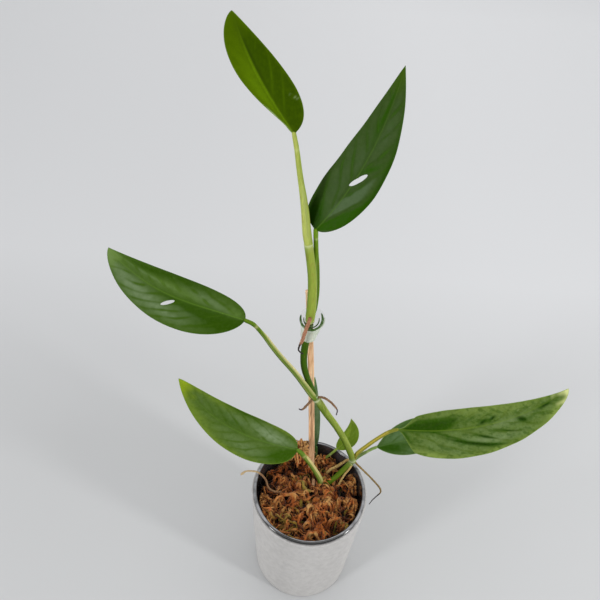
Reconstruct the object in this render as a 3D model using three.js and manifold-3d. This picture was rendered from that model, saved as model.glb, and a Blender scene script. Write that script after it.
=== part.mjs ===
// A potted monstera obliqua: a climbing stem tied to a wooden stake, eight leaves, aerial roots,
// dried moss, a black nursery pot and a pale cover pot. Millimetres, +Z up. The origin is the
// centre of the cover pot's base, and -Y is the side that the plant is seen from.

import * as THREE from 'three';
import { mergeVertices } from 'three/addons/utils/BufferGeometryUtils.js';
import Module from 'manifold-3d';

const wasm = await Module();
wasm.setup();

// Driving dimensions

const GAP = 0.3;
const BLADE_THICKNESS = 0.8;

const coverPot = {
  height: 110.6, topRadius: 45.9, baseRadius: 41.3, wall: 3, floor: 6, footEdge: 2.5, rimEdge: 1.2,
  cove: 3, coveLean: 0.4,
};
const nurseryPot = {
  lipRadius: 44.8, lipHeight: 2.2, lipEdge: 1, lipUndercut: 0.3, mouthRadius: 41.7, mouthEdge: 0.7,
  wall: 0.8, depth: 83, footRadius: 34, footEdge: 1, bottom: 1.2, cove: 1, coveLean: 0.1,
  drainRadius: 3, drainCircle: 24, drains: 8,
};
const moss = {
  edgeLevel: 98, crownLevel: 103.5, bump: 1.6, skirtLevel: 94, clearance: 0.5, footInset: 1.5, sides: 32,
  rings: [0.93, 0.76, 0.58, 0.4, 0.22, 0.07],
};
const strand = {
  count: 20, radius: 1.35, spread: 35, length: 11, extraLength: 10, bend: 0.9, hump: 0.6, extraHump: 1.8,
  sunk: 1.2,
};
const tuft = {
  x: -7, y: 34, height: 17, strands: 5, spreadX: 9, spreadY: 4, lean: 5, sunk: 3, radii: [1.8, 1.6, 1.1],
};
const stake = {
  foot: [4.4, 21.2, 45], head: [-14.6, 26, 301], bow: 1.5, footWidth: 5.4, headWidth: 4, thickness: 2.6,
  chamfer: 0.5, slant: 1.6,
};
const tie = {
  foot: { centre: [-12, 22.2, 266], half: [5.3, 7.2] },
  rim: { centre: [-11.2, 22.6, 280.3], half: [7.3, 9.4] },
  wall: 0.8, flare: 1.4, droop: 1.2, sides: 28,
};

// A stalk's sheath: shares of the stalk's radius, angles in radians, and where it fades out.
const sheath = {
  height: 0.3, wingAngle: 0.75, wingWidth: 0.45, grooveWidth: 0.4, fadeFrom: 0.55, fadeTo: 0.85,
};

// Finishes

const finish = (color, roughness, metalness = 0) =>
  new THREE.MeshStandardMaterial({ color, roughness, metalness });
const finishes = {
  concrete: () => finish(0xc9c7c4, 0.9),
  blackPlastic: () => finish(0x17181a, 0.25),
  moss: () => finish(0x9a5c34, 0.95),
  wood: () => finish(0xd8a87c, 0.8),
  clearBand: () => finish(0xc3cdbc, 0.45),
  stem: () => finish(0x7c9440, 0.5),
  root: () => finish(0x8f6a45, 0.8),
  paleRoot: () => finish(0xc2a36b, 0.8),
  stalk: (color) => finish(color, 0.5),
  blade: (color) => finish(color, 0.45),
};

// Vectors and numbers

const vec = ([x, y, z]) => new THREE.Vector3(x, y, z);
const { lerp, smoothstep, degToRad } = THREE.MathUtils;

function seededRandom(seed) {
  let state = seed;
  return () => {
    state = (Math.imul(state, 1664525) + 1013904223) >>> 0;
    return state / 4294967296;
  };
}

// Closed meshes from rings of points

function closedGeometry(points, triangles) {
  const geometry = new THREE.BufferGeometry();
  const places = points.flatMap((p) => p.toArray());
  geometry.setAttribute('position', new THREE.Float32BufferAttribute(places, 3));
  geometry.setIndex(triangles.flat());
  return geometry;
}

function centroid(points) {
  const sum = points.reduce((total, p) => total.add(p), new THREE.Vector3());
  return sum.divideScalar(points.length);
}

// Rings run counter-clockwise seen from the last ring; both ends are closed by a fan.
function loft(rings) {
  const sides = rings[0].length;
  const points = rings.flat();
  const triangles = [];
  for (let i = 0; i + 1 < rings.length; i += 1) {
    for (let j = 0; j < sides; j += 1) {
      const a = i * sides + j;
      const b = i * sides + ((j + 1) % sides);
      triangles.push([a, b, b + sides], [a, b + sides, a + sides]);
    }
  }
  const lastRing = (rings.length - 1) * sides;
  const firstCentre = points.push(centroid(rings[0])) - 1;
  const lastCentre = points.push(centroid(rings.at(-1))) - 1;
  for (let j = 0; j < sides; j += 1) {
    const next = (j + 1) % sides;
    triangles.push([firstCentre, next, j], [lastCentre, lastRing + j, lastRing + next]);
  }
  return closedGeometry(points, triangles);
}

// Solids and their cuts

function toSolid(geometry) {
  const bare = new THREE.BufferGeometry();
  bare.setAttribute('position', geometry.getAttribute('position').clone());
  bare.setIndex(geometry.index ? geometry.index.clone() : null);
  const merged = mergeVertices(bare, 1e-4);
  return new wasm.Manifold(new wasm.Mesh({
    numProp: 3,
    vertProperties: new Float32Array(merged.getAttribute('position').array),
    triVerts: new Uint32Array(merged.index.array),
  }));
}

function toGeometry(solid) {
  const mesh = solid.getMesh();
  const geometry = new THREE.BufferGeometry();
  geometry.setAttribute('position', new THREE.Float32BufferAttribute(mesh.vertProperties, 3));
  geometry.setIndex(new THREE.Uint32BufferAttribute(mesh.triVerts, 1));
  return geometry;
}

const fuse = (solids) => solids.reduce((whole, next) => whole.add(next));
const cut = (solid, tools) => tools.reduce((left, tool) => left.subtract(tool), solid);

// The largest body of a solid, without the scraps that a cut leaves loose.
function mainBody(solid) {
  return solid.decompose().reduce((best, body) => (body.volume() > best.volume() ? body : best));
}

// Limbs: stems, stalks and roots

const roundSection = () => 1;

// Two low wings along the stalk's upper side, with a groove between them.
function sheathedSection(angle, along) {
  const fade = 1 - smoothstep(along, sheath.fadeFrom, sheath.fadeTo);
  const wings = Math.exp(-(((Math.abs(angle) - sheath.wingAngle) / sheath.wingWidth) ** 2));
  const groove = Math.exp(-((angle / sheath.grooveWidth) ** 2));
  return 1 + fade * sheath.height * (wings - groove);
}

// One ring of a limb. The section's angle is counted from the side that faces `front`.
function limbRing({ centre, tangent, front, radius, sides, section, along }) {
  const across = new THREE.Vector3().crossVectors(tangent, front);
  return Array.from({ length: sides }, (_, j) => {
    const angle = (2 * Math.PI * j) / sides;
    const signed = angle > Math.PI ? angle - 2 * Math.PI : angle;
    const r = radius * section(signed, along);
    const point = centre.clone().addScaledVector(front, r * Math.cos(angle));
    return point.addScaledVector(across, r * Math.sin(angle));
  });
}

const limbPath = (route) => new THREE.CatmullRomCurve3(route.map(vec), false, 'centripetal');

// route: [x, y, z, radius] rows. A round section keeps its front from ring to ring; any other one
// turns it to `upper`.
function limb(route, options) {
  const { sides = 10, steps, upper = [0, -0.7, 0.7], section = roundSection, grow = 0 } = options;
  const path = limbPath(route);
  const count = (route.length - 1) * steps;
  const rings = [];
  let front = vec(upper);
  for (let i = 0; i <= count; i += 1) {
    const along = i / count;
    const span = Math.min(Math.floor(i / steps), route.length - 2);
    const radius = lerp(route[span][3], route[span + 1][3], i / steps - span) + grow;
    const centre = path.getPoint(along);
    const tangent = path.getTangent(along);
    front = section === roundSection ? front.clone() : vec(upper);
    front.addScaledVector(tangent, -front.dot(tangent)).normalize();
    rings.push(limbRing({ centre, tangent, front, radius, sides, section, along }));
  }
  return toSolid(loft(rings));
}

// Leaf blades

// Half width over its greatest, from the base (0) to the tip (1).
function bladeProfile(along, { rise, fall }) {
  const peak = rise / (rise + fall);
  return (along / peak) ** rise * ((1 - along) / (1 - peak)) ** fall;
}

// The middle surface of a blade as a function of the way along its midrib and across it.
function bladeSurface(leaf) {
  const base = vec(leaf.base);
  const axis = vec(leaf.tip).sub(base);
  const ahead = axis.clone().normalize();
  const face = vec(leaf.face).addScaledVector(ahead, -vec(leaf.face).dot(ahead)).normalize();
  const side = new THREE.Vector3().crossVectors(ahead, face);
  const bow = face.clone().multiplyScalar(leaf.sag).addScaledVector(side, leaf.sweep);

  const frameAt = (along) => {
    const centre = base.clone().addScaledVector(axis, along).addScaledVector(bow, 4 * along * (1 - along));
    const tangent = axis.clone().addScaledVector(bow, 4 - 8 * along).normalize();
    const normal = face.clone().addScaledVector(tangent, -face.dot(tangent)).normalize();
    return { centre, normal, across: new THREE.Vector3().crossVectors(tangent, normal) };
  };
  const at = (along, over) => {
    const { centre, normal, across } = frameAt(along);
    const side = over < 0 ? leaf.left : leaf.right;
    const profile = bladeProfile(along, side);
    const width = side.half * profile;
    const reach = Math.abs(over) * width;
    const phase = over < 0 ? 0.6 : 2.4;
    const swing = Math.sin(2 * Math.PI * leaf.waves * along + phase);
    const ripple = leaf.wave * profile * Math.abs(over) ** 3 * swing;
    const lift = leaf.fold * reach - (leaf.droop * reach * reach) / side.half + ripple;
    return centre.addScaledVector(across, over * width).addScaledVector(normal, lift);
  };
  return { at, frameAt };
}

// The two faces of a blade as rows of points, closer together towards its ends. The first column
// beside the midrib lies near it, so that the keel below stays narrow.
function bladeFaces(leaf) {
  const { at, frameAt } = bladeSurface(leaf);
  const crowding = 0.55;
  const ribWidth = 1.3;
  const widestRib = 0.25;
  const tipKeel = 0.2;
  const step = 1e-3;
  const upper = [];
  const lower = [];
  for (let i = 1; i < leaf.rows; i += 1) {
    const even = i / leaf.rows;
    const along = even - (crowding * Math.sin(2 * Math.PI * even)) / (2 * Math.PI);
    for (let column = -leaf.columns; column <= leaf.columns; column += 1) {
      const side = column < 0 ? leaf.left : leaf.right;
      const ribEdge = Math.min(widestRib, ribWidth / (side.half * bladeProfile(along, side)));
      const place = (Math.abs(column) - 1) / (leaf.columns - 1);
      const over = Math.sign(column) * (column === 0 ? 0 : lerp(ribEdge, 1, place));
      const point = at(along, over);
      const inner = Math.sign(over) * Math.min(Math.abs(over), 1 - step);
      const forward = at(along + step, over).sub(at(along - step, over));
      const sideways = at(along, inner + step).sub(at(along, inner - step));
      const normal = sideways.cross(forward).negate().normalize();
      if (normal.dot(frameAt(along).normal) < 0) normal.negate();
      const keel = column === 0 ? lerp(leaf.keel, tipKeel, along) : 0;
      upper.push(point.clone().addScaledVector(normal, BLADE_THICKNESS / 2));
      lower.push(point.addScaledVector(normal, -BLADE_THICKNESS / 2 - keel));
    }
  }
  return { upper, lower, frameAt };
}

// A closed blade: both faces share one pattern of triangles, with its holes cut through them.
function bladeSolid(leaf) {
  const { upper, lower, frameAt } = bladeFaces(leaf);
  const count = 2 * leaf.columns + 1;
  const bodyRows = leaf.rows - 1;
  const size = bodyRows * count;
  const points = [...upper, ...lower];
  const poles = [0, 1].map((end) => {
    const { centre, normal } = frameAt(end);
    const thickness = BLADE_THICKNESS / 2 + (end === 0 ? leaf.keel / 2 : 0);
    const top = points.push(centre.clone().addScaledVector(normal, BLADE_THICKNESS / 2)) - 1;
    const bottom = points.push(centre.clone().addScaledVector(normal, -thickness)) - 1;
    return { top, bottom };
  });
  const triangles = [];
  const bothFaces = (a, b, c) => triangles.push([a, b, c], [c + size, b + size, a + size]);
  for (let i = 0; i + 1 < bodyRows; i += 1) {
    for (let j = 0; j + 1 < count; j += 1) {
      const a = i * count + j;
      const b = a + count;
      if (j < leaf.columns) {
        bothFaces(a, a + 1, b);
        bothFaces(a + 1, b + 1, b);
      } else {
        bothFaces(a, a + 1, b + 1);
        bothFaces(a, b + 1, b);
      }
    }
    const left = i * count;
    const right = left + count - 1;
    triangles.push([left, left + count, left + count + size]);
    triangles.push([left, left + count + size, left + size]);
    triangles.push([right, right + size, right + count + size]);
    triangles.push([right, right + count + size, right + count]);
  }
  const [base, tip] = poles;
  const last = (bodyRows - 1) * count;
  for (let j = 0; j + 1 < count; j += 1) {
    const far = last + j;
    triangles.push([base.top, j + 1, j], [base.bottom, j + size, j + 1 + size]);
    triangles.push([tip.top, far, far + 1], [tip.bottom, far + 1 + size, far + size]);
  }
  const edgeToPole = ({ top, bottom }, edge) => {
    triangles.push([top, edge, edge + size], [top, edge + size, bottom]);
  };
  const poleToEdge = ({ top, bottom }, edge) => {
    triangles.push([top, bottom, edge + size], [top, edge + size, edge]);
  };
  edgeToPole(base, 0);
  poleToEdge(base, count - 1);
  poleToEdge(tip, last);
  edgeToPole(tip, last + count - 1);
  const holes = leaf.holes ?? [];
  return cut(toSolid(closedGeometry(points, triangles)), holes.map((hole) => holeTool(leaf, hole)));
}

// An oval prism through the blade, long along the side vein it lies beside.
function holeTool(leaf, { along, over, length, width, veinAngle }) {
  const { at, frameAt } = bladeSurface(leaf);
  const { normal, across } = frameAt(along);
  const ahead = new THREE.Vector3().crossVectors(normal, across);
  const depth = 10;
  const oval = new THREE.Shape().absellipse(0, 0, length / 2, width / 2, 0, 2 * Math.PI, false, 0);
  const prism = new THREE.ExtrudeGeometry(oval, { depth, bevelEnabled: false, curveSegments: 14 });
  prism.translate(0, 0, -depth / 2);
  prism.rotateZ(degToRad(veinAngle));
  prism.applyMatrix4(new THREE.Matrix4().makeBasis(ahead, across.clone().negate(), normal));
  prism.translate(...at(along, over).toArray());
  return toSolid(prism);
}

// The stem, from the moss to its top node. Each internode swells into a ring at its nodes.

const internodes = [
  [
    [7.5, 7, 84, 2.1], [9, 8, 99, 2.2], [12, 9.6, 103.3, 2.1], [16.9, 11.6, 106, 2.1],
    [22.4, 14.6, 111.2, 2.1], [28.5, 18.8, 117, 2.2], [33.2, 22.4, 119.8, 2.8],
  ],
  [
    [33.8, 22.8, 119.5, 3.1], [32.5, 22.6, 126, 2.6], [24.7, 21, 149.5, 2.5], [15.3, 19, 172, 2.5],
    [6.5, 16.9, 190, 2.6], [-0.3, 15.2, 205, 2.8], [-3.4, 14.8, 211, 2.7],
  ],
  [
    [-3, 14.8, 209.8, 2.7], [-6.9, 14.5, 222, 2], [-10.4, 14.5, 232.3, 2.05], [-13.1, 15.1, 242.3, 2.2],
    [-14, 17, 251.5, 2.3], [-13.6, 18.9, 261, 2.35], [-12.2, 20.7, 279, 2.7],
  ],
  [
    [-12.2, 20.6, 277.5, 2.6], [-12.1, 20.9, 284.5, 3], [-12.2, 21, 301.6, 2.8], [-13.5, 20.5, 317.6, 2.6],
    [-15.4, 20, 330.5, 2.5], [-16.8, 20, 338.5, 2.5], [-17.2, 20, 341, 2.6],
  ],
];
const stemSolid = (grow = 0) => fuse(internodes.map((route) => limb(route, { steps: 2, grow })));
const stemClearance = stemSolid(GAP);

// Stalks: the first point lies in the stem or the moss, the last one at the blade.

const stalks = [
  {
    color: 0x8fa551,
    upper: [0.3, -0.9, 0.2],
    freeFoot: true,
    route: [
      [-17.3, 20, 341.5, 2.5], [-18.5, 20, 347, 2.3], [-20.5, 19.6, 362, 1.95], [-22.6, 19, 375, 1.6],
      [-24.7, 18.6, 387, 1.4], [-26.5, 18.2, 398, 1.25], [-28.1, 18, 405.4, 1],
    ],
  },
  {
    color: 0x5c7f2c,
    upper: [0.3, -0.8, 0.4],
    route: [
      [-11.6, 21.5, 281.5, 1.8], [-10.3, 24.8, 289, 1.7], [-10, 25.7, 302, 1.6], [-11.7, 24.8, 324, 1.5],
      [-13.2, 21.8, 342.3, 1.35], [-13.8, 18.6, 351, 1.25],
    ],
  },
  {
    color: 0x7d9645,
    upper: [0.45, -0.5, 0.7],
    route: [
      [-3.2, 13.4, 211, 1.9], [-6.1, 12.2, 216, 1.8], [-11.9, 11, 227.6, 1.7], [-19.6, 9.5, 242.6, 1.5],
      [-28.7, 8, 257.9, 1.4], [-34.7, 7, 269, 1.3], [-39.9, 6, 279.7, 1.2], [-45.8, 5, 289.2, 1.25],
      [-50.2, 5, 291.8, 1.15],
    ],
  },
  {
    color: 0x6f8a43,
    upper: [0.6, -0.3, 0.7],
    route: [
      [9.2, 9.4, 101, 2], [7.8, 8.8, 112, 2.1], [2.1, 9, 126.5, 2.1], [-4.3, 9.8, 138.6, 1.9],
      [-8.6, 11, 144.6, 1.7], [-12.2, 12, 147.6, 1.4],
    ],
  },
  {
    color: 0x93a052,
    upper: [-0.3, -0.5, 0.8],
    route: [
      [33.9, 23, 121.5, 1.6], [36.2, 23, 132, 1.6], [42.2, 22.6, 144.5, 1.45], [49.6, 21.2, 159.4, 1.35],
      [55.9, 20.2, 169.6, 1.35], [60.6, 20, 173.2, 1.2],
    ],
  },
  {
    color: 0x6f8f3f,
    upper: [-0.3, -0.5, 0.8],
    route: [
      [34.5, 24, 120.5, 1.4], [39.1, 27, 122.8, 1.4], [43.8, 28.2, 126.8, 1.2], [48.3, 29.5, 130.2, 1.15],
      [51.4, 30, 132.3, 1.1],
    ],
  },
  {
    color: 0x7f9a45,
    upper: [-0.5, -0.5, 0.7],
    route: [
      [7.5, 30, 84, 1.1], [10.5, 31.2, 99, 1.1], [12.8, 32, 107.2, 1.05], [16.6, 33.1, 112.4, 1],
      [20.7, 34.6, 117.8, 1],
    ],
  },
  {
    color: 0x5b7a45,
    upper: [0.6, -0.7, 0.3],
    route: [[5.5, 33, 84, 1.4], [4.7, 34.4, 98, 1.4], [4.1, 36.2, 109, 1.3], [3.8, 37.8, 115, 1.2]],
  },
];

function stalkSolid({ route, upper }, grow = 0) {
  return limb(route, { sides: 12, steps: 2, section: sheathedSection, upper, grow });
}

// Blades. `left` and `right` are the two halves as the leaf's own upper side has them, with the tip
// ahead: their greatest half width, and how fast it rises from the base and falls to the tip.

const blades = [
  {
    color: 0x6b8428, tip: [-59.3, 38, 452], face: [0.1, -0.8, 0.5], sag: -1.5, sweep: -2.6,
    left: { half: 8.7, rise: 1.5, fall: 0.68 },
    right: { half: 12.6, rise: 0.42, fall: 0.93 },
    fold: 0.25, droop: 0.2, wave: 0.3, waves: 3, keel: 0.7, rows: 15, columns: 4,
  },
  {
    color: 0x3f5f2c, tip: [20.7, 38, 434], face: [-0.42, -0.8, 0.38], sag: 0.5, sweep: 6.3,
    left: { half: 14.8, rise: 0.32, fall: 0.92 },
    right: { half: 13.3, rise: 0.62, fall: 1 },
    fold: 0.12, droop: 0.15, wave: 0.5, waves: 4, keel: 1, rows: 18, columns: 4,
    holes: [{ along: 0.387, over: 0.2, length: 9, width: 3.2, veinAngle: -21 }],
  },
  {
    color: 0x44672f, tip: [-131.8, 25, 322.5], face: [-0.1, -0.65, 0.75], sag: 2, sweep: -4.4,
    left: { half: 19.8, rise: 0.66, fall: 0.72 },
    right: { half: 10.7, rise: 0.42, fall: 1 },
    fold: 0.18, droop: 0.2, wave: 0.5, waves: 4, keel: 1, rows: 18, columns: 4,
    holes: [{ along: 0.495, over: -0.38, length: 8.5, width: 2.8, veinAngle: 42 }],
  },
  {
    color: 0x4a6f2f, tip: [-107, 43, 184.2], face: [0, -0.6, 0.75], sag: 4, sweep: -9,
    left: { half: 18, rise: 0.5, fall: 0.9 },
    right: { half: 14, rise: 0.36, fall: 0.75 },
    fold: 0.2, droop: 0.2, wave: 0.5, waves: 4, keel: 1, rows: 18, columns: 4,
  },
  {
    color: 0x4b6e2c, tip: [181.5, 42, 209.6], face: [-0.1, -0.6, 0.75], sag: 3, sweep: 10.5,
    left: { half: 14.2, rise: 0.57, fall: 1.2 },
    right: { half: 21, rise: 0.36, fall: 0.66 },
    fold: 0.2, droop: 0.15, wave: 0.8, waves: 6, keel: 1.1, rows: 24, columns: 4,
  },
  {
    color: 0x476a3a, tip: [137.6, 62, 125.6], face: [-0.1, -0.6, 0.8], sag: 2, sweep: -0.6,
    left: { half: 16.2, rise: 0.9, fall: 1.3 },
    right: { half: 12, rise: 0.8, fall: 1.4 },
    fold: 0.1, droop: 0.15, wave: 0.4, waves: 4, keel: 0.9, rows: 16, columns: 4,
  },
  {
    color: 0x6d8c33, tip: [29.4, 45, 147.2], face: [-0.1, -0.85, 0.4], sag: -1, sweep: 4.4,
    left: { half: 5.8, rise: 0.55, fall: 1.1 },
    right: { half: 8.2, rise: 0.7, fall: 0.9 },
    fold: 0.2, droop: 0.1, wave: 0.2, waves: 2, keel: 0.6, rows: 10, columns: 3,
  },
  {
    color: 0x4d6b45, tip: [-2.8, 58, 180.5], face: [0.75, -0.6, 0.2], sag: 0, sweep: -2.5,
    left: { half: 7, rise: 0.55, fall: 1 },
    right: { half: 6, rise: 0.65, fall: 0.9 },
    fold: 0.35, droop: 0.1, wave: 0.2, waves: 2, keel: 0.7, rows: 12, columns: 3,
  },
];
const baseClearance = 0.5;
blades.forEach((blade, i) => {
  const path = limbPath(stalks[i].route);
  blade.base = path.getPoint(1).addScaledVector(path.getTangent(1), baseClearance).toArray();
});

// Aerial roots, from the stem outward

const roots = {
  root_over_tie: {
    tone: 'root',
    route: [
      [-12.3, 19, 284, 1], [-12.6, 15.4, 286, 1.1], [-13.5, 12.2, 284, 1.1], [-14.8, 11, 278.8, 1.15],
      [-16, 11.4, 271, 1.1], [-17.4, 11.8, 266, 0.6], [-17.7, 12.4, 261.3, 0.5], [-15.9, 13.2, 258, 0.45],
      [-14.5, 13.4, 257, 0.4],
    ],
  },
  root_left_node: {
    tone: 'root',
    route: [
      [-4, 14.5, 211.5, 0.9], [-6.5, 12.4, 209.2, 0.9], [-8.7, 11.5, 206, 0.85], [-10.9, 11, 202, 0.75],
      [-12.5, 11, 200.6, 0.5], [-14.2, 11, 201.6, 0.4],
    ],
  },
  root_right_node: {
    tone: 'root',
    route: [
      [-2.2, 14.6, 211.5, 0.8], [1.9, 12.4, 214.6, 0.8], [6.8, 11, 212.7, 0.8], [11, 10, 208, 0.7],
      [12.6, 10, 205, 0.45], [12.6, 10.5, 198.3, 0.4],
    ],
  },
  root_right_hanging: {
    tone: 'root',
    route: [
      [34.8, 22.6, 121, 0.8], [38, 20.8, 118.6, 0.8], [47.3, 16, 112.4, 0.75], [57.6, 10.2, 104, 0.7],
      [58.9, 9, 100, 0.6], [56.4, 8.7, 93, 0.45], [53.8, 8, 87.6, 0.4], [51.8, 7, 82, 0.35],
    ],
  },
  root_into_moss: {
    tone: 'paleRoot',
    route: [
      [33, 21.5, 120, 0.8], [31.9, 18, 118.6, 0.8], [28.2, 15.2, 113, 0.8], [24.2, 10.4, 105, 0.85],
      [21, 6.5, 96, 0.9], [19.5, 5, 89, 0.8],
    ],
  },
  root_straw: {
    tone: 'paleRoot',
    route: [
      [33, 24.5, 117.8, 1], [30, 27, 114.6, 1.1], [22.7, 23.5, 110.8, 1.15], [16.5, 21.8, 106, 1.15],
      [12.4, 20.6, 98, 1.1], [11, 20, 90, 0.9],
    ],
  },
  root_over_lip: {
    tone: 'paleRoot',
    route: [
      [-16.8, 0.9, 98, 0.8], [-20.5, -0.4, 104.4, 0.85], [-28, -0.9, 105.6, 0.85], [-32.7, 1.4, 106.6, 0.85],
      [-35.4, 6.2, 109.5, 0.8], [-39, 8.2, 113.6, 0.8], [-42.8, 9.3, 115.6, 0.75], [-46.9, 9.6, 115.8, 0.7],
      [-51.8, 10, 114, 0.65], [-54.4, 8.8, 112.6, 0.95], [-55.9, 7.5, 112, 0.6],
    ],
  },
};
const rootSolid = ({ route }, grow = 0) => limb(route, { sides: 7, steps: 2, grow });

// Pots: each is a closed profile turned about the Z axis

function turned(profile, segments = 40) {
  const lathe = new THREE.LatheGeometry(profile.map(([r, z]) => new THREE.Vector2(r, z)), segments);
  lathe.rotateX(Math.PI / 2);
  return toSolid(lathe);
}

function arc(centreR, centreZ, radius, from, to, steps) {
  return Array.from({ length: steps + 1 }, (_, i) => {
    const angle = degToRad(lerp(from, to, i / steps));
    return [centreR + radius * Math.cos(angle), centreZ + radius * Math.sin(angle)];
  });
}

function coverPotSolid() {
  const { height, topRadius, baseRadius, wall, floor, footEdge, rimEdge, cove, coveLean } = coverPot;
  const inside = baseRadius - wall + coveLean;
  return turned([
    [0, 0],
    ...arc(baseRadius - footEdge, footEdge, footEdge, -90, 0, 4),
    ...arc(topRadius - rimEdge, height - rimEdge, rimEdge, 0, 90, 3),
    [topRadius - wall, height],
    [inside, floor + cove],
    [inside - cove, floor],
    [0, floor],
  ]);
}

const lipBottom = coverPot.height;
const lipTop = lipBottom + nurseryPot.lipHeight;
const nurseryFoot = lipBottom - nurseryPot.depth;
const nurseryFloor = nurseryFoot + nurseryPot.bottom;
const nurseryFloorRadius = nurseryPot.footRadius - nurseryPot.wall - nurseryPot.coveLean;

function nurseryPotSolid() {
  const {
    lipRadius, lipEdge, lipUndercut, mouthRadius, mouthEdge, wall, footRadius, footEdge, bottom, cove,
    drainRadius, drainCircle, drains,
  } = nurseryPot;
  const body = turned([
    [0, nurseryFoot],
    [footRadius - footEdge, nurseryFoot],
    [footRadius, nurseryFoot + footEdge],
    [mouthRadius + wall, lipBottom],
    [lipRadius - lipUndercut, lipBottom],
    ...arc(lipRadius - lipEdge, lipTop - lipEdge, lipEdge, 0, 90, 3),
    ...arc(mouthRadius + mouthEdge, lipTop - mouthEdge, mouthEdge, 90, 180, 2),
    [nurseryFloorRadius, nurseryFloor + cove],
    [nurseryFloorRadius - cove, nurseryFloor],
    [0, nurseryFloor],
  ]);
  const drain = (i) => {
    const angle = (2 * Math.PI * i) / drains;
    const hole = new THREE.CylinderGeometry(drainRadius, drainRadius, 3 * bottom, 12);
    hole.rotateX(Math.PI / 2);
    const middle = nurseryFoot + bottom / 2;
    hole.translate(drainCircle * Math.cos(angle), drainCircle * Math.sin(angle), middle);
    return toSolid(hole);
  };
  return cut(body, Array.from({ length: drains }, (_, i) => drain(i)));
}

// The nursery pot's inner radius at a height
function nurseryInside(z) {
  const low = nurseryFloor + nurseryPot.cove;
  const high = lipTop - nurseryPot.mouthEdge;
  return lerp(nurseryFloorRadius, nurseryPot.mouthRadius, (z - low) / (high - low));
}

// Moss: a plug that fills the nursery pot, with a heaped, lumpy top and loose strands sunk in it

function mossLevel(x, y) {
  const radius = Math.hypot(x, y) / nurseryInside(moss.edgeLevel);
  const heap = lerp(moss.crownLevel, moss.edgeLevel, smoothstep(radius, 0.25, 1));
  const lumps = Math.sin(0.33 * x + 1.1) * Math.cos(0.29 * y - 0.4) + 0.7 * Math.sin(0.21 * x - 0.37 * y + 2);
  return heap + moss.bump * lumps * (1 - 0.7 * radius * radius);
}

function mossPlug() {
  const foot = nurseryFloor + GAP;
  const ring = (radius, height) => Array.from({ length: moss.sides }, (_, j) => {
    const angle = (2 * Math.PI * j) / moss.sides;
    const x = radius * Math.cos(angle);
    const y = radius * Math.sin(angle);
    return new THREE.Vector3(x, y, height ?? mossLevel(x, y));
  });
  const skirt = nurseryInside(moss.skirtLevel) - moss.clearance;
  const surface = moss.rings.map((share) => ring(skirt * share));
  const bottom = ring(nurseryInside(foot) - moss.footInset, foot);
  return toSolid(loft([bottom, ring(skirt, moss.skirtLevel), ...surface]));
}

function mossStrand(random) {
  const away = strand.spread * Math.sqrt(random());
  const angle = 2 * Math.PI * random();
  const heading = 2 * Math.PI * random();
  const length = strand.length + strand.extraLength * random();
  const bend = strand.bend * (random() - 0.5);
  const hump = strand.hump + strand.extraHump * random();
  const route = [-0.5, -0.2, 0.15, 0.5].map((share) => {
    const turn = heading + 2 * bend * share;
    const x = away * Math.cos(angle) + length * share * Math.cos(turn);
    const y = away * Math.sin(angle) + length * share * Math.sin(turn);
    const rise = Math.abs(share) === 0.5 ? -strand.sunk : hump;
    return [x, y, mossLevel(x, y) + rise, strand.radius];
  });
  return limb(route, { sides: 5, steps: 1 });
}

function tuftStrand(random) {
  const x = tuft.x + tuft.spreadX * (random() - 0.5);
  const y = tuft.y + tuft.spreadY * (random() - 0.5);
  const lean = tuft.lean * (random() - 0.5);
  const level = mossLevel(x, y);
  const top = level + tuft.height * (0.7 + 0.3 * random());
  const [footRadius, middleRadius, topRadius] = tuft.radii;
  return limb([
    [x, y, level - tuft.sunk, footRadius],
    [x + 0.3 * lean, y, (level + top) / 2, middleRadius],
    [x + lean, y - 1, top, topRadius],
  ], { sides: 5, steps: 1 });
}

function mossSolid(neighbours) {
  const random = seededRandom(7);
  const loose = Array.from({ length: strand.count }, () => mossStrand(random));
  const standing = Array.from({ length: tuft.strands }, () => tuftStrand(random));
  const [low, high, above] = [60, 97, 130];
  const mouth = nurseryInside(high) - 1;
  const room = turned([[0, low], [nurseryInside(low) - 1.5, low], [mouth, high], [mouth, above], [0, above]]);
  return mainBody(cut(fuse([mossPlug(), fuse([...loose, ...standing]).intersect(room)]), neighbours));
}

// Stake: a flat split of wood with chamfered edges and a slanting top

function stakeSolid(grow = 0) {
  const { chamfer, slant, thickness } = stake;
  const outline = (width) => {
    const a = width / 2 + grow;
    const b = thickness / 2 + grow;
    return [
      [-a, -b + chamfer], [-a + chamfer, -b], [a - chamfer, -b], [a, -b + chamfer],
      [a, b - chamfer], [a - chamfer, b], [-a + chamfer, b], [-a, b - chamfer],
    ];
  };
  const ring = (share) => {
    const centre = vec(stake.foot).lerp(vec(stake.head), share);
    centre.x += stake.bow * 4 * share * (1 - share);
    const width = lerp(stake.footWidth, stake.headWidth, share);
    return outline(width).map(([x, y]) => {
      const top = share === 1 ? (slant * x) / width : 0;
      return new THREE.Vector3(centre.x + x, centre.y + y, centre.z + top);
    });
  };
  return toSolid(loft([0, 0.25, 0.5, 0.75, 1].map(ring)));
}

// Tie: a soft band round the stem and the stake, snug below and flared above

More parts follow.
